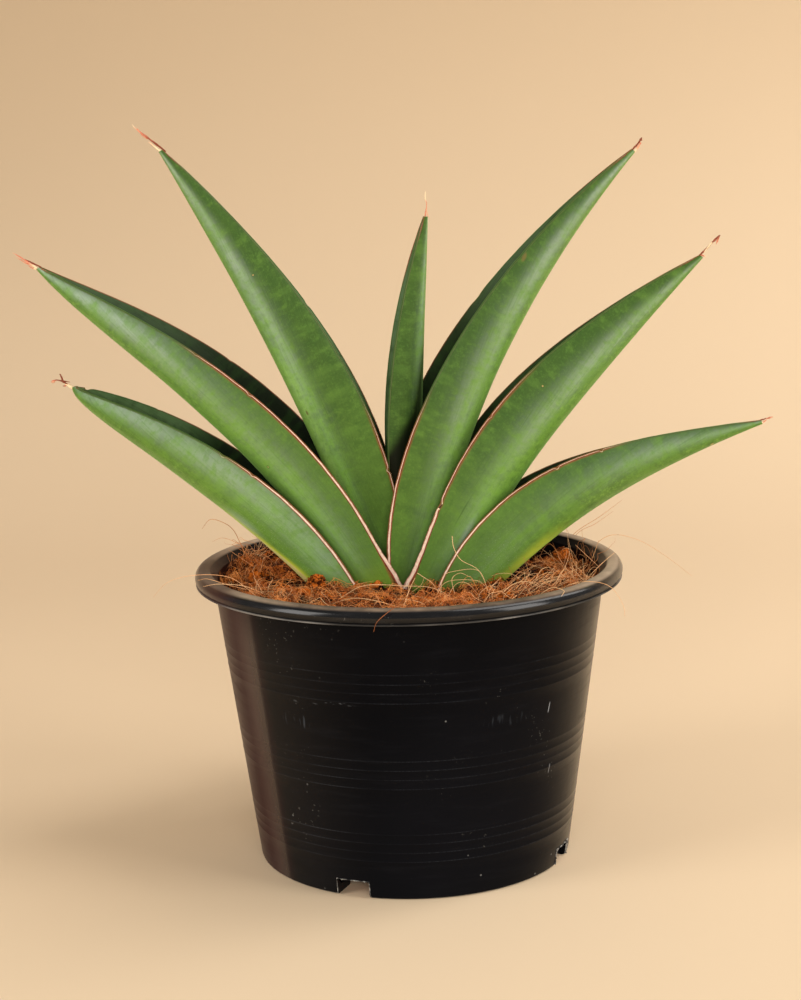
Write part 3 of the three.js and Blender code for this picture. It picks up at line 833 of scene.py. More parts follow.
def buildCrumbs():
    chance = np.random.default_rng(coir["seed"] + 1)
    deselectAll()
    bpy.ops.mesh.primitive_ico_sphere_add(subdivisions=1, radius=1)
    seed = bpy.context.object
    body = readPoints(seed)
    faces = np.array([p.vertices[:] for p in seed.data.polygons])
    bpy.data.objects.remove(seed)
    count, crowd = coir["crumbs"], coir["clodCrumbs"]
    clustered = crowd * len(coir["clods"])
    turn = chance.uniform(0, 2 * math.pi, count)
    radius = coir["reach"] * np.sqrt(chance.uniform(0.0, 0.985, count))
    size = 0.2 + 0.6 * chance.uniform(0, 1, count) ** 3
    x, y = radius * np.cos(turn), radius * np.sin(turn)
    middle = np.stack((x, y, crumbHeight(x, y) + chance.uniform(-0.4, 0.6, count)), -1)
    for i, (clodX, clodY, clodZ, wide) in enumerate(coir["clods"]):
        part = slice(i * crowd, (i + 1) * crowd)
        away = unit(chance.normal(0, 1, (crowd, 3))) * wide
        away = away * (0.86 + 0.14 * chance.uniform(-1, 1, (crowd, 1)))
        middle[part] = np.array((clodX, clodY, clodZ)) + away * np.array(coir["clodSquash"])
        middle[part, 2] += 0.5 * (i == 0)  # the first clod's crumbs stand a little higher
        size[part] = chance.uniform(0.2, 0.55, crowd)
    lumps = body[None] * chance.uniform(0.55, 1.3, (count, len(body), 1)) * size[:, None, None]
    places = middle[:, None] + lumps * chance.uniform(0.6, 1.4, (count, 1, 3))
    allFaces = faces[None] + (np.arange(count) * len(body))[:, None, None]
    piece = meshPiece("coir_crumbs", places, allFaces.reshape(-1, 3).tolist())
    pits = chance.uniform(-0.2, 0.4, count)
    pits[:clustered] = chance.uniform(-0.08, 0.34, clustered)
    # painted shade: crumbs in the hollows are darker
    pits[clustered:] += 0.9 * sunken(middle[clustered:, 0], middle[clustered:, 1])
    store(piece, "pit", np.repeat(pits, len(body)), 0, 0)
    finishPiece(piece, 30, bpy.data.materials["coirBed"], "coir_fibre")


def buildClods():
    # the core of each clod, rough all over, so that no light shows between its crumbs
    for i, (clodX, clodY, clodZ, wide) in enumerate(coir["clods"]):
        deselectAll()
        bpy.ops.mesh.primitive_ico_sphere_add(subdivisions=4, radius=1)
        piece = named(bpy.context.object, f"coir_clod_{i + 1}")
        body = readPoints(piece)
        shift = Vector((i * 7.1, 0, 0))
        uneven = np.array([noise.fractal(Vector(p) * 2.2 + shift, 0.8, 2.1, 4) for p in body])
        body = body * (0.86 + 0.2 * uneven[:, None]) * np.array(coir["clodSquash"]) * wide
        movePoints(piece, (body + np.array((clodX, clodY, clodZ))) * mm)
        # painted shade: darker in the dents of each clod
        store(piece, "pit", np.clip(0.14 - uneven * 0.45, -0.1, 0.34), 0, 0)
        finishPiece(piece, 60, bpy.data.materials["coirBed"], "coir_fibre")


buildCoirBed()
buildFibres()
buildCrumbs()
buildClods()
print("coir laid")


leafSection = {
    "rows": 190, "outer": 44, "inner": 26, "rimSteps": 4,
    "rim": 1.1, "levelRows": 0.3, "hollowFrom": 0.25, "baseFloor": 0.2, "middleFloor": 0.55,
    "bow": 118, "bowFrom": 0.1, "keelPower": 1.6,
    "groove": 0.035, "grooves": 31, "sway": 0.13,
    "apart": 5.3,  # sets one leaf's pattern apart from the next
    "marginRows": 330, "marginFrom": 0.03, "marginTo": 0.99, "tipPoints": 26,
}

crownLevel = 84

# What shapes and colours a leaf. The first four are smooth lines with their base, two pulls and tip.
# keel: its lowest line, in x and z. depth and mouth: how deep the channel is, and half its width.
# lean: by how many degrees it turns about its own line.
# nicks: share of length, side (-1 near, 1 far), depth, width.
# paper: share of length, width of the near margin's dry edge, and how much of it lies on the flank.
# brownTo and farTo: where the near and the far margin's brown lines end. upper: how green the far one ends.
# channel: where the inside's painted shade lifts, turning lighter towards the tip, and by how much.
# bloomAndSheen: the band of waxy bloom and painted sheen, its middle low down and high up, its width, and
# its strength low down and high up.
# deep: painted shade on the keel's side, from a pale painted light below 0 to the margin's dark green at 1.
# mottle: strength of the patches. cream: how far the yellow pales, from 1.
# yellow: how far up the keel's yellow edge reaches, and its width.
# gloom: how much of the flank lies in deep shade, at some shares of length.
# gash: a dark cut in the near margin, from and to.
# tip: withered shreds, each as a line from the leaf's end in x and z, its thicknesses and its shades.
leaves = {
    "leaf_low_right": {
        "side": 1, "keel": [(21, crownLevel), (48.7, 112), (72.5, 130.2), (124.2, 149.9)],
        "depth": [16, 33.1, 14.7, 1.4], "mouth": [18, 17.6, 9.2, 1], "lean": [0, 3, 13.5, 13.5],
        "nicks": [(0.5, -1, 0.35, 0.005), (0.625, -1, 0.35, 0.004), (0.3, 1, 0.4, 0.006)],
        "paper": [(0.03, 0.8, 0.6), (0.12, 0.78, 0.62), (0.22, 0.68, 0.54), (0.3, 0.55, 0.42),
                  (0.4, 0.44, 0.32), (0.55, 0.36, 0.22), (0.7, 0.24, 0.14), (0.88, 0.24, 0.14),
                  (1, 0.4, 0.2)],
        "brownTo": 0.66, "farTo": 0.6, "channel": (0.5, 0.3),
        "bloomAndSheen": (0.6, 0.7, 0.22, 0.11, 0.28), "deep": 0.45, "mottle": 0.45, "yellow": (0.48, 0.4),
        "upper": 0.15, "seed": 1,
        "tip": [([(-2.6, 1.0), (-1.0, 1.3), (0.2, 1.6), (1.3, 2.0)], (0.1, 0.36, 0.42, 0.28),
                 (0.7, 0.9, 0.95, 1)),
                ([(-0.5, 0.3), (0.4, 0.8), (1.4, 1.5)], (0.6, 0.5, 0.16), (0.05, 0.45, 0.5)),
                ([(1.3, 1.8), (2.2, 2.1), (3.7, 2.5)], (0.22, 0.5, 0.2), (0.5, 0.75, 0.35))],
    },
    "leaf_low_left": {
        "side": -1, "keel": [(-24, crownLevel), (-65.1, 132.3), (-114.8, 158.9), (-115.1, 168.8)],
        "depth": [14, 27.7, 8.2, 1.6], "mouth": [14, 13.8, 12.3, 1.2], "lean": [0, 3, -1.5, -1.5],
        "nicks": [(0.4, -1, 0.25, 0.006), (0.325, -1, 0.2, 0.005), (0.9, 1, 2.2, 0.022),
                  (0.6, 1, 0.3, 0.006)],
        "paper": [(0.03, 0.9, 0.7), (0.1, 1.0, 0.9), (0.2, 0.95, 0.85), (0.28, 0.65, 0.55),
                  (0.34, 0.42, 0.32), (0.5, 0.28, 0.2), (0.88, 0.24, 0.14), (1, 0.5, 0.2)],
        "brownTo": 0.38, "farTo": 0.5, "channel": (0.4, 1.0),
        "bloomAndSheen": (0.84, 0.98, 0.24, 0.38, 0.44), "deep": 0.5, "mottle": 0.5, "yellow": (0.36, 0.3),
        "cream": 2.5, "upper": 0.7, "seed": 2,
        "tip": [([(0.7, -0.6), (-0.9, 0.4), (-2.2, 1.2)], (1.0, 0.8, 0.4), (0.0, 0.05, 0.3)),
                ([(-1.4, 1.0), (-2.9, 2.0), (-3.3, 3.2), (-3.9, 4.7)], (0.3, 0.6, 0.5, 0.3),
                 (1, 1, 1, 0.9)),
                ([(-0.6, 1.7), (-3.0, 2.1), (-5.0, 2.5), (-6.8, 2.2)], (0.16, 0.46, 0.34, 0.5),
                 (1, 1, 0.9, 0.4)),
                ([(-5.6, 2.2), (-6.3, 1.9), (-6.9, 2.0)], (0.2, 0.56, 0.3), (0.4, 0.42, 0.5)),
                ([(-1.6, 0.9), (-2.4, 0.4), (-3.1, 0.5)], (0.3, 0.4, 0.12), (0.3, 0.7, 0.8))],
    },
    "leaf_middle_right": {
        "side": 1, "keel": [(15, crownLevel), (30.5, 124.7), (45.6, 144.3), (103.4, 208)],
        "depth": [19, 19.8, 34, 1.4], "mouth": [12.5, 18.6, 12.8, 1], "lean": [0, -4, 5.5, 5.5],
        "nicks": [(0.3, -1, 0.3, 0.01), (0.55, -1, 0.15, 0.004), (0.45, 1, 0.4, 0.006)],
        "paper": [(0.03, 2.3, -1.7), (0.08, 2.3, -1.2), (0.11, 2.2, -0.3), (0.14, 1.9, 0.6),
                  (0.18, 1.5, 1.05), (0.22, 1.3, 1.05), (0.27, 1.1, 0.9), (0.295, 0.6, 0.35),
                  (0.34, 0.54, 0.36), (0.5, 0.42, 0.26), (0.7, 0.26, 0.15), (0.88, 0.24, 0.14),
                  (1, 0.4, 0.2)],
        "brownTo": 0.66, "farTo": 0.8, "channel": (0.5, 0.3),
        "bloomAndSheen": (0.6, 0.48, 0.18, 0.17, 0.42), "deep": 0.2, "mottle": 0.5, "yellow": (0.2, 0.1),
        "upper": 0.8, "seed": 3,
        "gash": (0.284, 0.306),
        "tip": [([(-1.3, 0.8), (0.4, 2.3), (2.4, 4.3)], (0.44, 0.5, 0.42), (1, 0.9, 0.95)),
                ([(0.3, 1.9), (2.1, 4.1), (3.1, 5.2)], (0.16, 0.34, 0.3), (0.2, 0.05, 0.1)),
                ([(2.8, 4.7), (4.0, 6.0), (5.8, 7.6)], (0.34, 0.6, 0.3), (0.95, 0.85, 1)),
                ([(5.4, 7.3), (4.9, 5.8), (4.4, 4.4)], (0.3, 0.34, 0.1), (0.9, 0.6, 0.4)),
                ([(-1.2, 0.7), (-0.1, 0.8), (0.9, 0.3)], (0.4, 0.5, 0.24), (0.7, 0.5, 0.25))],
    },
    "leaf_middle_left": {
        "side": -1, "keel": [(-16.5, crownLevel), (-46.7, 150.4), (-103.9, 182.4), (-125.1, 209.6)],
        "depth": [16.5, 27.9, 15.3, 1.4], "mouth": [10.5, 19.1, 12, 1], "lean": [0, -6, -1.5, -1.5],
        "nicks": [(0.434, -1, 0.14, 0.004), (0.56, -1, 0.1, 0.004), (0.5, 1, 0.3, 0.006)],
        "paper": [(0.03, 2.0, -1.5), (0.06, 2.0, -1.0), (0.09, 2.0, -0.1), (0.12, 1.5, 0.75),
                  (0.15, 1.1, 0.85), (0.2, 0.85, 0.68), (0.27, 0.72, 0.56), (0.35, 0.54, 0.36),
                  (0.5, 0.4, 0.24), (0.7, 0.24, 0.14), (0.88, 0.24, 0.14), (1, 0.4, 0.2)],
        "brownTo": 0.56, "farTo": 0.9, "channel": (0.5, 0.25),
        "bloomAndSheen": (0.6, 0.82, 0.22, 0.22, 0.54), "deep": 0.3, "mottle": 0.6, "yellow": (0.15, 0.1),
        "upper": 0.8, "seed": 4,
        "tip": [([(1.6, 0.8), (-1.4, 2.3), (-3.8, 3.6)], (0.4, 0.46, 0.26), (1, 0.95, 0.8)),
                ([(0.2, 0.4), (-2.6, 2.4), (-5.2, 4.3), (-7.7, 6.0)], (0.6, 0.52, 0.4, 0.1),
                 (0.1, 0.5, 0.6, 0.4)),
                ([(-1.0, 1.0), (-3.2, 2.1), (-5.2, 3.4), (-6.8, 4.6)], (0.3, 0.3, 0.22, 0.06),
                 (0.3, 0.45, 0.5, 0.35)),
                ([(-0.2, 0.1), (-1.3, 0.5), (-2.6, 1.3)], (0.5, 0.34, 0.1), (0.0, 0.5, 0.6))],
    },
    "leaf_high_right": {
        "side": 1, "keel": [(9, crownLevel), (8.5, 115.3), (26.4, 180.1), (80.3, 244.4)],
        "depth": [10.5, 31.3, 21.9, 1.4], "mouth": [7.3, 13.5, 17.6, 1], "lean": [0, -15, 0, 0],
        "nicks": [(0.7, 1, 0.5, 0.01), (0.79, -1, 0.14, 0.006)],
        "paper": [(0.03, 1.0, 0.9), (0.2, 1.05, 0.95), (0.3, 0.85, 0.7), (0.4, 0.52, 0.38),
                  (0.5, 0.36, 0.25), (0.6, 0.22, 0.14), (0.88, 0.22, 0.14), (1, 0.45, 0.2)],
        "brownTo": 0.5, "farTo": 0.6, "channel": (0.6, 0.4),
        "bloomAndSheen": (0.53, 0.56, 0.2, 0.16, 0.48), "deep": 0.2, "mottle": 0.55, "yellow": (0.1, 0.05),
        "upper": 0.9, "seed": 5,
        "tip": [([(-3.4, -2.2), (-1.5, 0.2), (0.2, 1.9), (1.6, 3.5)], (0.12, 0.42, 0.46, 0.36),
                 (0.8, 0.9, 0.95, 0.9)),
                ([(-0.4, 0.0), (0.8, 1.4), (1.9, 3.1)], (0.62, 0.5, 0.26), (0.15, 0.4, 0.5)),
                ([(1.2, 3.0), (1.8, 3.9), (2.3, 4.7)], (0.3, 0.56, 0.24), (0.9, 1, 1))],
    },
    "leaf_high_left": {
        "side": -1, "keel": [(-10, crownLevel), (-23.9, 132.6), (-46.1, 184.1), (-81.4, 248.3)],
        "depth": [8, 30.7, 24.5, 1.4], "mouth": [4.2, 7.5, 13.8, 1], "lean": [0, -5, 6, 6],
        "nicks": [(0.313, -1, 0.3, 0.004), (0.66, 1, 0.4, 0.006)],
        "paper": [(0.03, 0.7, 0.6), (0.2, 0.6, 0.5), (0.35, 0.42, 0.32), (0.45, 0.28, 0.18),
                  (0.88, 0.22, 0.14), (1, 0.45, 0.2)],
        "brownTo": 0.42, "farTo": 0.45, "channel": (0.36, 1.0),
        "bloomAndSheen": (0.38, 0.4, 0.19, 0.14, 0.6), "deep": -0.4, "mottle": 0.55, "yellow": (0.1, 0.05),
        "upper": 0.45, "seed": 6,
        "tip": [([(2.4, 0.1), (-0.8, 2.7), (-4.2, 5.4), (-7.0, 7.8)], (0.4, 0.58, 0.48, 0.26),
                 (1, 0.95, 0.75, 0.55)),
                ([(0.7, 0.2), (-0.8, 1.4), (-3.2, 3.5)], (0.62, 0.52, 0.2), (0.0, 0.15, 0.35)),
                ([(-3.6, 4.4), (-5.4, 5.9), (-6.9, 8.2)], (0.24, 0.32, 0.1), (0.5, 0.5, 0.4)),
                ([(-5.0, 5.8), (-7.0, 7.6), (-8.6, 9.4)], (0.3, 0.26, 0.08), (0.6, 0.4, 0.1))],
    },
    "leaf_centre": {
        "side": 1, "keel": [(3.5, crownLevel), (3.8, 105.1), (5.3, 149.9), (9.5, 224.3)],
        "depth": [5, 4, 24, 1.4], "mouth": [2, 2.5, 11, 1], "lean": [0, 0, -6, -12],
        "nicks": [], "paper": [(0.03, 0.3, 0.2), (0.5, 0.3, 0.2), (0.86, 0.22, 0.14), (1, 0.4, 0.2)],
        "brownTo": 0.2, "farTo": 0.0, "channel": (0.45, 0.9),
        "bloomAndSheen": (0.36, 0.34, 0.15, 0.0, 0.42), "deep": 0.1, "mottle": 0.5,
        "gloom": ((0.5, 0.56, 0.65, 0.76, 0.88), (1.7, 1.05, 0.56, 0.26, -0.4)), "yellow": (0.1, 0.05),
        "upper": 1.0, "seed": 7,
        "tip": [([(-1.2, -1.0), (-0.8, 1.2), (-0.5, 2.8), (-0.3, 4.9)], (0.26, 0.28, 0.22, 0.12),
                 (0.7, 0.5, 0.5, 0.6)),
                ([(0.1, -0.2), (-0.2, 1.0), (-0.4, 2.2)], (0.3, 0.24, 0.1), (0.45, 0.4, 0.4)),
                ([(-0.3, 4.5), (-0.8, 6.1), (-0.7, 8.5)], (0.12, 0.28, 0.1), (0.6, 0.2, 0.0))],
    },
}

# flaws on the skin: leaf, centimetres across and along, their half width and length, and kind
blots = [
    ("leaf_high_left", -0.97, 12.82, 0.028, 0.03, "speck"),
    ("leaf_high_left", -0.60, 7.79, 0.05, 0.10, "scar"),
    ("leaf_middle_right", -1.63, 8.56, 0.026, 0.034, "speck"),
    ("leaf_middle_right", -1.20, 3.05, 0.13, 0.75, "milk"),
    ("leaf_middle_right", -1.62, 3.75, 0.018, 0.5, "crease"),
    ("leaf_low_right", -0.08, 10.48, 0.06, 0.09, "speck"),
    ("leaf_low_left", -0.45, 4.9, 0.3, 0.9, "milk"),
    ("leaf_high_right", -1.20, 12.9, 0.05, 0.16, "scar"),
    ("leaf_middle_left", -0.9, 6.4, 0.03, 0.04, "speck"),
    ("leaf_low_left", 0.3, 11.9, 0.2, 0.3, "torn"),
]


def weights(t):
    return (1 - t) ** 3, 3 * (1 - t) ** 2 * t, 3 * (1 - t) * t ** 2, t ** 3


def eased(values, t):
    return sum(w * v for w, v in zip(weights(t), values))


def keelPoint(leaf, t):
    x = eased([p[0] for p in leaf["keel"]], t)
    z = eased([p[1] for p in leaf["keel"]], t)
    return np.stack((x, np.zeros_like(x), z), -1)


def leafAxes(leaf, t):
    # the keel's place with the directions across and into the leaf, for each share of its length
    along = unit(keelPoint(leaf, np.minimum(t + 0.01, 1)) - keelPoint(leaf, np.minimum(t, 0.99)))
    square = np.stack((-along[..., 2], np.zeros_like(t), along[..., 0]), -1) * leaf["side"]
    level = np.array((-leaf["side"], 0, 0), float)
    turn = smooth(t / leafSection["levelRows"])[..., None]
    inward = unit(level * (1 - turn) + square * turn)
    lean = np.radians(eased(leaf["lean"], t))[..., None]
    across = np.array((0, 1, 0)) * np.cos(lean) - inward * np.sin(lean)
    inward = inward * np.cos(lean) + np.array((0, 1, 0)) * np.sin(lean)
    return keelPoint(leaf, t), across, inward


def trimmed(leaf, t, s):
    # the margins' nicks and slight waves pull the flank in a little near its edge
    cut = 0.05 + 0.04 * ripple(t * 60 + leaf["seed"] * 7 + 30 * np.sign(s), leaf["seed"], 4)
    for place, side, deep, wide in leaf["nicks"]:
        cut = cut + deep * bell((t - place) / wide) * (np.sign(s) == side)
    share = cut / np.maximum(eased(leaf["depth"], t), 3)
    return s * (1 - share * np.abs(s) ** 10)


def leafPoint(leaf, t, s, inside=False, shrink=1.0):
    middle, across, inward = leafAxes(leaf, t)
    depth = eased(leaf["depth"], t) * shrink
    mouth = eased(leaf["mouth"], t) * shrink
    rim = np.minimum(leafSection["rim"], 0.45 * mouth)
    hollow = smooth((t - leafSection["hollowFrom"]) / 0.4)
    filling = smooth((t - 0.8) / 0.18)
    base, centre = leafSection["baseFloor"], leafSection["middleFloor"]
    floor = depth * (base + (centre - base) * hollow + (1 - centre) * filling)
    s = trimmed(leaf, t, s)
    if inside:
        side = (mouth - rim) * s
        up = floor + (depth - floor) * np.abs(s) ** (2 - 0.5 * hollow)
    else:
        bow = np.radians(90 + (leafSection["bow"] - 90) * smooth((t - leafSection["bowFrom"]) / 0.5))
        side = mouth * np.sin(bow * s) / np.sin(bow)
        up = depth * np.abs(s) ** leafSection["keelPower"]
    return middle + across * side[..., None] + inward * up[..., None]


def leafRings(leaf):
    # rows x columns of places, with each column's s, and whether it lies in the channel
    part = leafSection
    share = np.arange(part["rows"] + 1) / part["rows"]
    t = np.append(share + 0.12 * np.sin(math.pi * share) * share, 1.0)  # closer rows towards the tip
    size = np.append(np.ones(part["rows"] + 1), 0.3)[:, None]
    outer = np.linspace(-1, 1, part["outer"] + 1)
    inner = np.linspace(1, -1, part["inner"] + 1)
    outside = leafPoint(leaf, *np.meshgrid(t, outer, indexing="ij"), False, size)
    inside = leafPoint(leaf, *np.meshgrid(t, inner, indexing="ij"), True, size)
    inward = leafAxes(leaf, t)[2]
    rims = []
    for a, b in ((outside[:, -1], inside[:, 0]), (inside[:, -1], outside[:, 0])):
        for step in range(1, part["rimSteps"]):
            share = step / part["rimSteps"]
            crest = 0.35 * math.sin(math.pi * share) * np.linalg.norm(a - b, axis=-1, keepdims=True)
            rims.append(a * (1 - share) + b * share + inward * crest)
    half = part["rimSteps"] - 1
    right, left = np.stack(rims[:half], 1), np.stack(rims[half:], 1)
    places = np.concatenate((outside, right, inside, left, outside[:, :1]), 1)
    ones = np.ones(half)
    s = np.concatenate((outer, ones, inner, -ones, outer[:1]))
    within = np.concatenate((outer * 0, ones * 0.5, inner * 0 + 1, ones * 0.5, outer[:1] * 0))
    return t, s, within, places


def wander(first, second, *scales):
    # smooth waves over the leaf, about -1 to 1
    line = 0
    for i, scale in enumerate(scales):
        line = line + np.sin(first * scale + i * 1.9) * np.cos(second * scale * 1.7 + i * 0.7)
    return line / len(scales)


skin = {
    # the outer face: greens low down, midway and towards the tip, and at the margins; the low keel green is
    # paler partly as painted light where neighbouring leaves shade it
    "keelLow": paint(116, 163, 56), "keel": paint(99, 141, 47), "keelTop": paint(76, 116, 44),
    "pale": paint(158, 204, 94), "marginLow": paint(76, 106, 41), "margin": paint(56, 82, 33),
    "dark": paint(42, 72, 28), "light": paint(118, 160, 66), "fleck": paint(130, 174, 74),
    "bloomAndSheen": paint(170, 183, 175), "dust": paint(196, 210, 186), "yellow": paint(202, 212, 54),
    "cream": paint(240, 212, 140), "foot": paint(132, 160, 44), "gloom": paint(9, 14, 5),
    # the channel, darker with painted shade, and the flaws
    "channel": paint(46, 64, 36), "channelDeep": paint(11, 18, 10), "upper": paint(80, 106, 68),
    "edge": paint(130, 58, 40), "speck": paint(176, 150, 98), "scar": paint(104, 92, 50),
    "torn": paint(196, 164, 96),
}


def flawLayers(start, at, line):
    # what each flaw lays over the skin
    layers = []
    for leafName, across, far, wide, long, sort in blots:
        centre = (across, far, leaves[leafName]["seed"] * leafSection["apart"])
        away = start.node("VectorMath", {"operation": "SUBTRACT"}, {0: at, 1: centre})
        away = away.scaled(1 / wide, 1 / long, 0.4 if sort == "torn" else 20)
        away = start.node("VectorMath", {"operation": "LENGTH"}, {0: away}, 1)
        if sort == "speck":
            layers.append((skin["dark"], away.ramp(2.2, 1.2) * 0.5))
            layers.append((skin["speck"], away.ramp(1.2, 0.5) * 0.8))
        elif sort == "scar":
            layers.append((skin["scar"], away.ramp(1.3, 0.5) * 0.8))
        elif sort == "torn":
            layers.append((skin["torn"], away.ramp(1.3, 0.6)))
        elif sort == "milk":
            layers.append((skin["bloomAndSheen"], away.ramp(1.3, 0.0) * (0.25 + line * 0.4)))
        else:
            # painted shade: the crease is only a dark line
            layers.append((skin["dark"], away.ramp(1.5, 0.4) * 0.4))
    return layers


def leafFinish():
    start = newFinish("leafSkin")
    at = spot(start, "leafPlace")  # centimetres across and along, and a number for each leaf and face
    zone = spot(start, "leafZone")  # 0 at the keel to 1 at the margin, share of length, 1 in the channel
    waxSheen = spot(start, "leafWaxSheen")  # waxy bloom and painted sheen, yellow of the keel or painted light in the channel, dust
    kind = spot(start, "leafTone")  # share of the margin's green with painted shade (deep shade above 1), strength of patches, brown of the margin
    edge, along, inside = zone.part(0), zone.part(1), zone.part(2)
    blotch = at.scaled(0.9, 2.2, 1).noise(1.0, 3, 0.5)
    band = at.scaled(3.4, 3.2, 1).noise(1.0, 4, 0.62)
    grain = at.scaled(17, 13, 1).noise(1.0, 3, 0.6)
    stroke = at.scaled(7.5, 6, 1).noise(1.0, 5, 0.7)
    line = at.scaled(24, 0.45, 1).noise(1.0, 3, 0.6)
    streak = at.scaled(5, 0.25, 1).noise(1.0, 2, 0.5)
    mottle = kind.part(1)
    green = kind.part(0) + (streak - 0.5) * 0.4 + (blotch - 0.5) * 0.3
    low = tone(start, skin["keelLow"], skin["marginLow"], green.ramp(0.0, 1.0))
    high = tone(start, skin["keel"], skin["margin"], green.ramp(0.0, 1.0))
    # short flecks, strongest on the keel's side
    keelSide = 0.35 + 0.65 * edge.ramp(0.75, 0.35)
    fleck = stroke.ramp(0.51, 0.62) * blotch.ramp(0.38, 0.54) * (0.14 + 0.86 * edge.ramp(0.68, 0.3))
    colour = low.layered(
        (high, along.ramp(0.25, 0.62)),
        (skin["keelTop"], along.ramp(0.55, 0.85) * green.ramp(0.9, 0.1) * 0.55),
        # painted light: the keel's side paler where deep is below 0
        (skin["pale"], kind.part(0).ramp(0.0, -0.5) * along.ramp(0.66, 0.5) * 0.7),
        # soft mottling in dark and light patches
        (skin["dark"], blotch.ramp(0.48, 0.72) * mottle * 0.5),
        (skin["light"], blotch.ramp(0.5, 0.26) * mottle * 0.3),
        (skin["dark"], band.ramp(0.5, 0.72) * (0.14 + mottle * 0.26)),
        (skin["light"], band.ramp(0.5, 0.26) * (0.08 + mottle * 0.2)),
        (skin["fleck"], fleck * (0.14 + mottle * 0.55)),
        (skin["dark"], stroke.ramp(0.47, 0.37) * keelSide * (0.1 + mottle * 0.26)),
        (skin["dark"], grain.ramp(0.52, 0.72) * 0.14),
        (skin["light"], grain.ramp(0.48, 0.3) * 0.1),
        (skin["dark"], line.ramp(0.52, 0.74) * 0.16))
    # waxy bloom and painted sheen in a long soft band, worn along fine lines, across it and in patches
    worn = (0.66 + 0.34 * streak.ramp(0.35, 0.6)) * (1 - 0.3 * line.ramp(0.5, 0.72))
    worn = worn * (1 - 0.6 * mottle * blotch.ramp(0.54, 0.36)) * (1 - 0.5 * band.ramp(0.52, 0.32))
    worn = worn * (1 - 0.3 * stroke.ramp(0.5, 0.66))
    bloomAndSheen = waxSheen.part(0) * worn
    outside = inside.ramp(0.3, 0.0)
    dust = at.noise(30, 3, 0.7).ramp(0.6, 0.68) * waxSheen.part(2)
    margin = edge.ramp(0.965, 0.99) * outside * kind.part(2)  # a thin brown line along its lower part
    colour = colour.layered(
        (skin["bloomAndSheen"], bloomAndSheen),
        (skin["foot"], (along + blotch * 0.08).ramp(0.19, 0.07) * 0.5),
        (skin["yellow"], waxSheen.part(1) * outside * (0.75 + 0.25 * band.ramp(0.35, 0.6))),
        (skin["cream"], waxSheen.part(1).ramp(1.0, 1.9) * outside * 0.9),
        (skin["dust"], dust * 0.55),
        *flawLayers(start, at, line),
        (skin["edge"], margin * (0.35 + grain * 0.5)),
        (skin["gloom"], kind.part(0).ramp(1.0, 2.0)))  # painted shade: the heart of the rosette stays dark
    # the channel is darker: its own darker green with painted shade, near black low down and lighter towards
    # the tip and the margin
    lit = along.ramp(0.3, 0.9) * edge.ramp(0.4, 1.0)
    deep = tone(start, skin["channelDeep"], skin["channel"], lit).layered(
        (skin["upper"], waxSheen.part(1) * edge.ramp(0.15, 0.85)),
        (skin["dark"], blotch.ramp(0.55, 0.38) * 0.3),
        (skin["channelDeep"], band.ramp(0.5, 0.7) * 0.3 + line.ramp(0.5, 0.7) * 0.3))
    rim = tone(start, skin["margin"], skin["edge"], kind.part(2) * 0.85)
    colour = colour.layered((rim, inside.ramp(0.05, 0.3)), (deep, inside.ramp(0.55, 0.9)))
    rough = 0.4 + band * 0.08 + line * 0.08 + inside * 0.08
    bump = raised(start, line, 0.00018, 0.5)
    bump = raised(start, at.scaled(9, 9, 1).noise(1.0, 4, 0.6), 0.00012, 0.5, bump)
    coat = {"Coat Weight": bloomAndSheen * 0.5, "Coat Roughness": 0.34}
    sheen = {"Sheen Weight": 0.3, "Sheen Roughness": 0.45, "Sheen Tint": (0.45, 0.8, 0.22, 1)}
    return surface(start, colour, rough, 0.2, {"Normal": bump, **coat, **sheen})


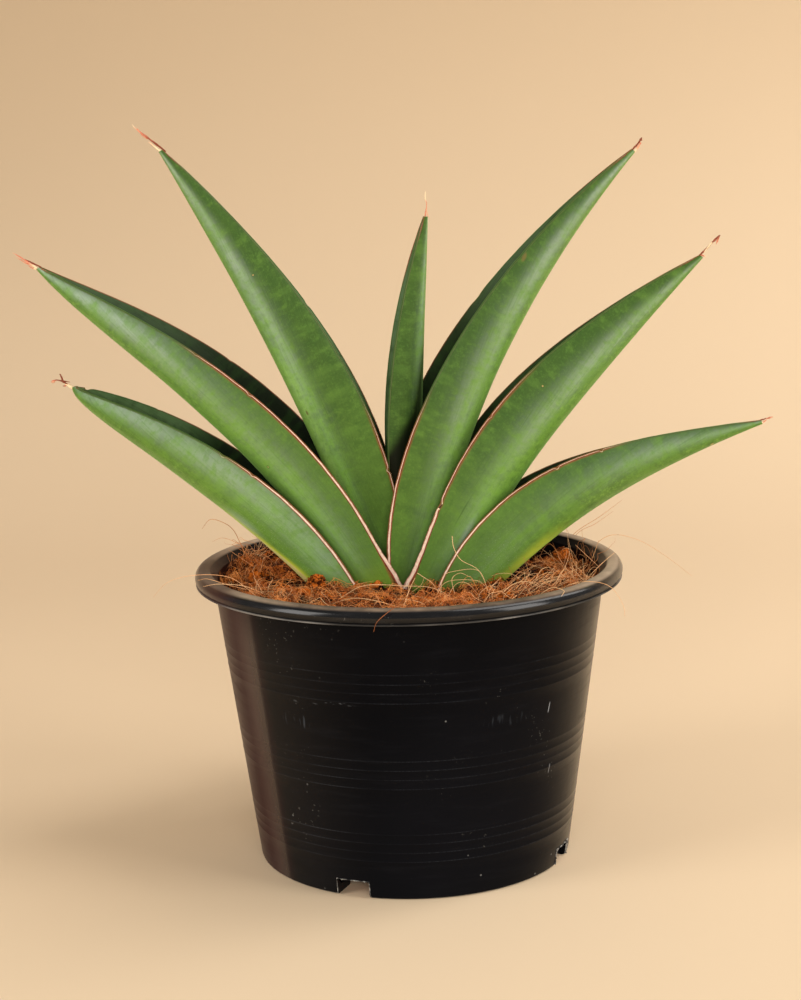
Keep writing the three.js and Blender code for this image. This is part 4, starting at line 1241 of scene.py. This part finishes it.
def buildLeaf(name, leaf, finish):
    t, s, within, places = leafRings(leaf)
    rows, columns = len(t) - 1, len(s) - 1
    length = np.concatenate(([0], np.cumsum(np.linalg.norm(np.diff(keelPoint(leaf, t), axis=0), axis=-1))))
    width = eased(leaf["depth"], t)[:, None] * s[None, :]
    # shallow lengthwise grooves and a slow unevenness on the outer face
    normal = unit(np.cross(np.gradient(places, axis=1), np.gradient(places, axis=0)))
    outward = normal * np.sign(np.sum(normal[:, :, 1] * np.sign(s)[None, :]))
    wave = np.cos(np.abs(s)[None, :] * leafSection["grooves"])
    groove = leafSection["groove"] * wave * (within == 0)[None, :]
    sway = leafSection["sway"] * wander(length[:, None] * 0.05 + leaf["seed"], width * 0.09, 1, 2.3, 4.1)
    calm = (np.abs(s) < 0.97)[None, :] * smooth(t * 8)[:, None] * smooth((1 - t) * 9)[:, None]
    places = places + outward * ((groove + sway) * calm)[..., None]
    places[:, -1] = places[:, 0]
    piece, row, column = newGrid(name + "_blade", columns, rows)
    movePoints(piece, places[row, column] * mm)
    share, far, face = np.abs(s)[column], t[row], within[column]
    patch = face * 3 + leaf["seed"] * leafSection["apart"]
    store(piece, "leafPlace", width[row, column] / 10, length[row] / 10, patch)
    store(piece, "leafZone", share, far, face)
    # painted sheen: each leaf's band of waxy bloom lies where its sheen falls, and not in painted shade
    low, high, wide, weak, strong = leaf["bloomAndSheen"]
    rise = smooth((far - 0.3) / 0.55)
    middle = low + (high - low) * rise
    uneven = 0.88 + 0.12 * ripple(length[row] * 0.07, leaf["seed"] + 20, 4)
    bloomAndSheen = (weak + (strong - weak) * rise) * uneven * bell((share - middle) / wide) * smooth(far / 0.16)
    reach, band = leaf["yellow"]
    band = band * (1 + 0.8 * smooth((0.22 - far) / 0.14))
    yellow = smooth((reach - far) / 0.2) * smooth((band - share) / band * 1.5) * leaf.get("cream", 1)
    dust = smooth((0.36 - far) / 0.12) * bell((share - 0.35) / 0.4) * (abs(leaf["keel"][0][0]) > 18)
    reachAlong, reachAcross = leaf.get("gloom", ((0, 1), (-1, -1)))
    shaded = smooth((np.interp(far, reachAlong, reachAcross) - np.where(face == 0, share, 0.3)) / 0.4 + 0.5)
    first, clear = leaf["channel"]
    yellow = np.where(face == 1, clear * smooth((far - first) / 0.15), yellow * (face == 0))
    store(piece, "leafWaxSheen", bloomAndSheen * (face == 0) * (1 - shaded), yellow, dust * (face == 0))
    near = 1 - smooth((far - leaf["brownTo"]) / 0.12 + 0.5)
    farSide = s[column] > 0
    brown = np.where(farSide, 1 - smooth((far - leaf["farTo"]) / 0.15), near)
    brown = np.maximum(brown, smooth((far - np.where(farSide, 0.88, 0.95)) / 0.05))
    # painted shade: deep darkens the keel's side (pales it below 0), and shaded parts go to 2
    green = smooth((share - middle + 0.12) / 0.42)
    green = green + leaf["deep"] * (1 - green)
    green = np.minimum(green, 1) * (1 - shaded) + 2 * shaded
    store(piece, "leafTone", green, leaf["mottle"] * smooth((far - 0.1) / 0.4), brown)
    closeSeams(piece)
    finishPiece(piece, 65, finish, "leaf_green", name)


def marginFinish():
    start = newFinish("marginPaper")
    place = spot(start, "marginPlace")  # across the strip, how green and thin it has grown, its flaws
    outer, worn, flaw = place.part(0), place.part(1), place.part(2)
    fleck = spot(start).noise(650, 4, 0.6)
    fibre = place.scaled(7, 0, 0).noise(1.0, 2) + fleck * 0.5
    paper = tone(start, paint(236, 211, 190), paint(198, 160, 134), fibre.ramp(0.6, 0.9))
    brown = tone(start, paint(142, 68, 46), paint(98, 42, 30), fleck.ramp(0.4, 0.6))
    dull = tone(start, paint(62, 84, 38), paint(78, 92, 48), fleck.ramp(0.4, 0.6))
    colour = brown.layered(
        (paper, (outer + (fleck - 0.5) * 0.3).ramp(0.2, 0.4)),
        (brown, (outer + (fleck - 0.5) * 0.2).ramp(0.82, 0.96) * 0.85),
        (dull, worn * 0.95),
        (paint(238, 220, 180), flaw.ramp(0.3, 0.9) * flaw.ramp(1.7, 1.2)),
        (paint(52, 26, 20), flaw.ramp(1.4, 1.9)))
    return surface(start, colour, 0.55, 0.35, {"Normal": raised(start, fleck, 0.0002, 0.6)})


def buildMargins(name, leaf, finish):
    # a dry papery strip on both margins, wide and pale at the foot of the leaf and thin towards the tip
    rows, columns = leafSection["marginRows"], 8
    t = np.linspace(leafSection["marginFrom"], leafSection["marginTo"], rows + 1)
    angle = np.arange(columns + 1) / columns * 2 * math.pi
    share = 0.5 - 0.5 * np.cos(angle)[None, :]
    thick = 0.12 + 0.12 * smooth((0.35 - t) / 0.3)
    strips = []
    for side in (-1, 1):
        near = side < 0
        ones = np.ones_like(t) * side
        outerEdge = leafPoint(leaf, t, ones)
        innerEdge = leafPoint(leaf, t, ones, True)
        below = outerEdge - leafPoint(leaf, t, ones * 0.97)
        up, out = unit(below), unit(outerEdge - innerEdge)
        arc = np.linalg.norm(below, axis=-1) / 0.03
        places, widths, insets = zip(*leaf["paper"])
        wide = np.interp(t, places, widths) * (1 if near else 0.6) + (0 if near else 0.2)
        inset = np.interp(t, places, insets) * (1 if near else 0.6)
        wide = wide * (1 + 0.09 * ripple(t * 110, leaf["seed"] * 3 + side, 5))
        flaw = np.zeros_like(t)
        for place, nickSide, deep, span in leaf["nicks"]:
            if nickSide == side:
                flaw = np.maximum(flaw, bell((t - place) / span / 1.3) * min(1, deep * 2 + 0.1))
                wide = wide * (1 - 0.6 * bell((t - place) / span))
        if near and "gash" in leaf:
            first, last = leaf["gash"]
            flaw = np.maximum(flaw, 2 * smooth((t - first) / 0.006) * smooth((last - t) / 0.006))
        piece, row, column = newGrid(name + ("_near" if near else "_far"), columns, rows)
        reach = wide[:, None] * share - inset[:, None]  # below 0 it lies on the flank
        across = side * (1 + np.minimum(reach, 0) / arc[:, None])
        onSkin = leafPoint(leaf, *np.broadcast_arrays(t[:, None], across))
        over = np.maximum(reach, 0)
        crimp = 0.04 * ripple(t * 170, leaf["seed"] + 5, 3)[:, None] * share
        lift = thick[:, None] * np.sin(angle)[None, :] * (1 - 0.4 * share)
        lift = lift + 0.12 * over ** 2 / wide[:, None] + crimp
        places = onSkin + up[:, None] * over[..., None] + out[:, None] * lift[..., None]
        movePoints(piece, places[row, column] * mm)
        if near:
            worn = smooth((t - leaf["brownTo"]) / 0.1 + 0.5) * (1 - smooth((t - 0.95) / 0.05))
        else:
            worn = leaf["upper"] * smooth((t - leaf["farTo"]) / 0.2) * (1 - smooth((t - 0.88) / 0.05))
        browner = 0.34 * smooth((t - 0.22) / 0.15) + 0.3 * smooth((t - 0.88) / 0.06)
        store(piece, "marginPlace", share[0][column] - browner[row], worn[row], flaw[row])
        closeSeams(piece)
        strips.append(piece)
    deselectAll()
    for strip in strips:
        strip.select_set(True)
    bpy.context.view_layer.objects.active = strips[0]
    bpy.ops.object.join()
    piece = named(bpy.context.object, name + "_margins")
    finishPiece(piece, 60, finish, "leaf_green")


def tipFinish():
    start = newFinish("dryTip")
    shade = spot(start, "strand").part(0)  # cream, then salmon, then dark red brown
    fleck = spot(start).noise(800, 4, 0.6)
    mixed = shade + (fleck - 0.5) * 0.35
    colour = tone(start, paint(240, 212, 172), paint(204, 124, 96), mixed.ramp(0.15, 0.55))
    colour = colour.toward(paint(126, 62, 40), mixed.ramp(0.6, 0.95))
    return surface(start, colour, 0.6, 0.3, {"Normal": raised(start, fleck, 0.0003, 0.6)})


def buildTip(name, leaf, finish):
    # the withered end: a few twisted shreds that start inside the blade
    points = leafSection["tipPoints"]
    run = np.linspace(0, 1, points)
    paths, widths, shades = [], [], []
    endX, endZ = leaf["keel"][-1]
    for i, (line, thick, tones) in enumerate(leaf["tip"]):
        line = [(endX + x, 0.12 * (-1) ** i - 0.06 * abs(x), endZ + z) for x, z in line]
        path = curveThrough(line, points)
        waves = ((9, 3), (8, 8), (9, 12))
        wobble = 0.07 * np.stack([ripple(run * wave, i + seed) for wave, seed in waves], -1)
        paths.append(path + wobble * smooth(run * 4)[:, None])
        knots = np.linspace(0, 1, len(thick))
        widths.append(np.interp(run, knots, thick) * (1 + 0.16 * ripple(run * 14, i + leaf["seed"] * 4)))
        shades.append(np.interp(run, knots, tones))
    widths = np.maximum(np.array(widths), 0.04)
    strandPiece(name + "_dry_tip", np.array(paths), widths, np.array(shades), finish, "leaf_green", 7, 0.62,
                name)


leafSkin = leafFinish()
marginPaper = marginFinish()
dryTip = tipFinish()
for leafName, leafShape in leaves.items():
    buildLeaf(leafName, leafShape, leafSkin)
    buildMargins(leafName, leafShape, marginPaper)
    buildTip(leafName, leafShape, dryTip)
print("leaves grown")


def rhizomeFinish():
    start = newFinish("rhizomeSkin")
    at = spot(start)
    ring = at.scaled(0.3, 0.3, 1).noise(420, 3)
    fleck = at.noise(500, 4, 0.6)
    colour = tone(start, paint(206, 150, 84), paint(158, 96, 48), ring.ramp(0.4, 0.62))
    colour = colour.toward(paint(96, 54, 30), fleck.ramp(0.55, 0.72) * 0.6)
    return surface(start, colour, 0.55 + fleck * 0.2, 0.5, {"Normal": raised(start, ring, 0.0006, 0.7)})


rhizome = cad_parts["rhizome"]  # it keeps its own solid
rhizome.data.materials.clear()
rhizome.data.materials.append(rhizomeFinish())
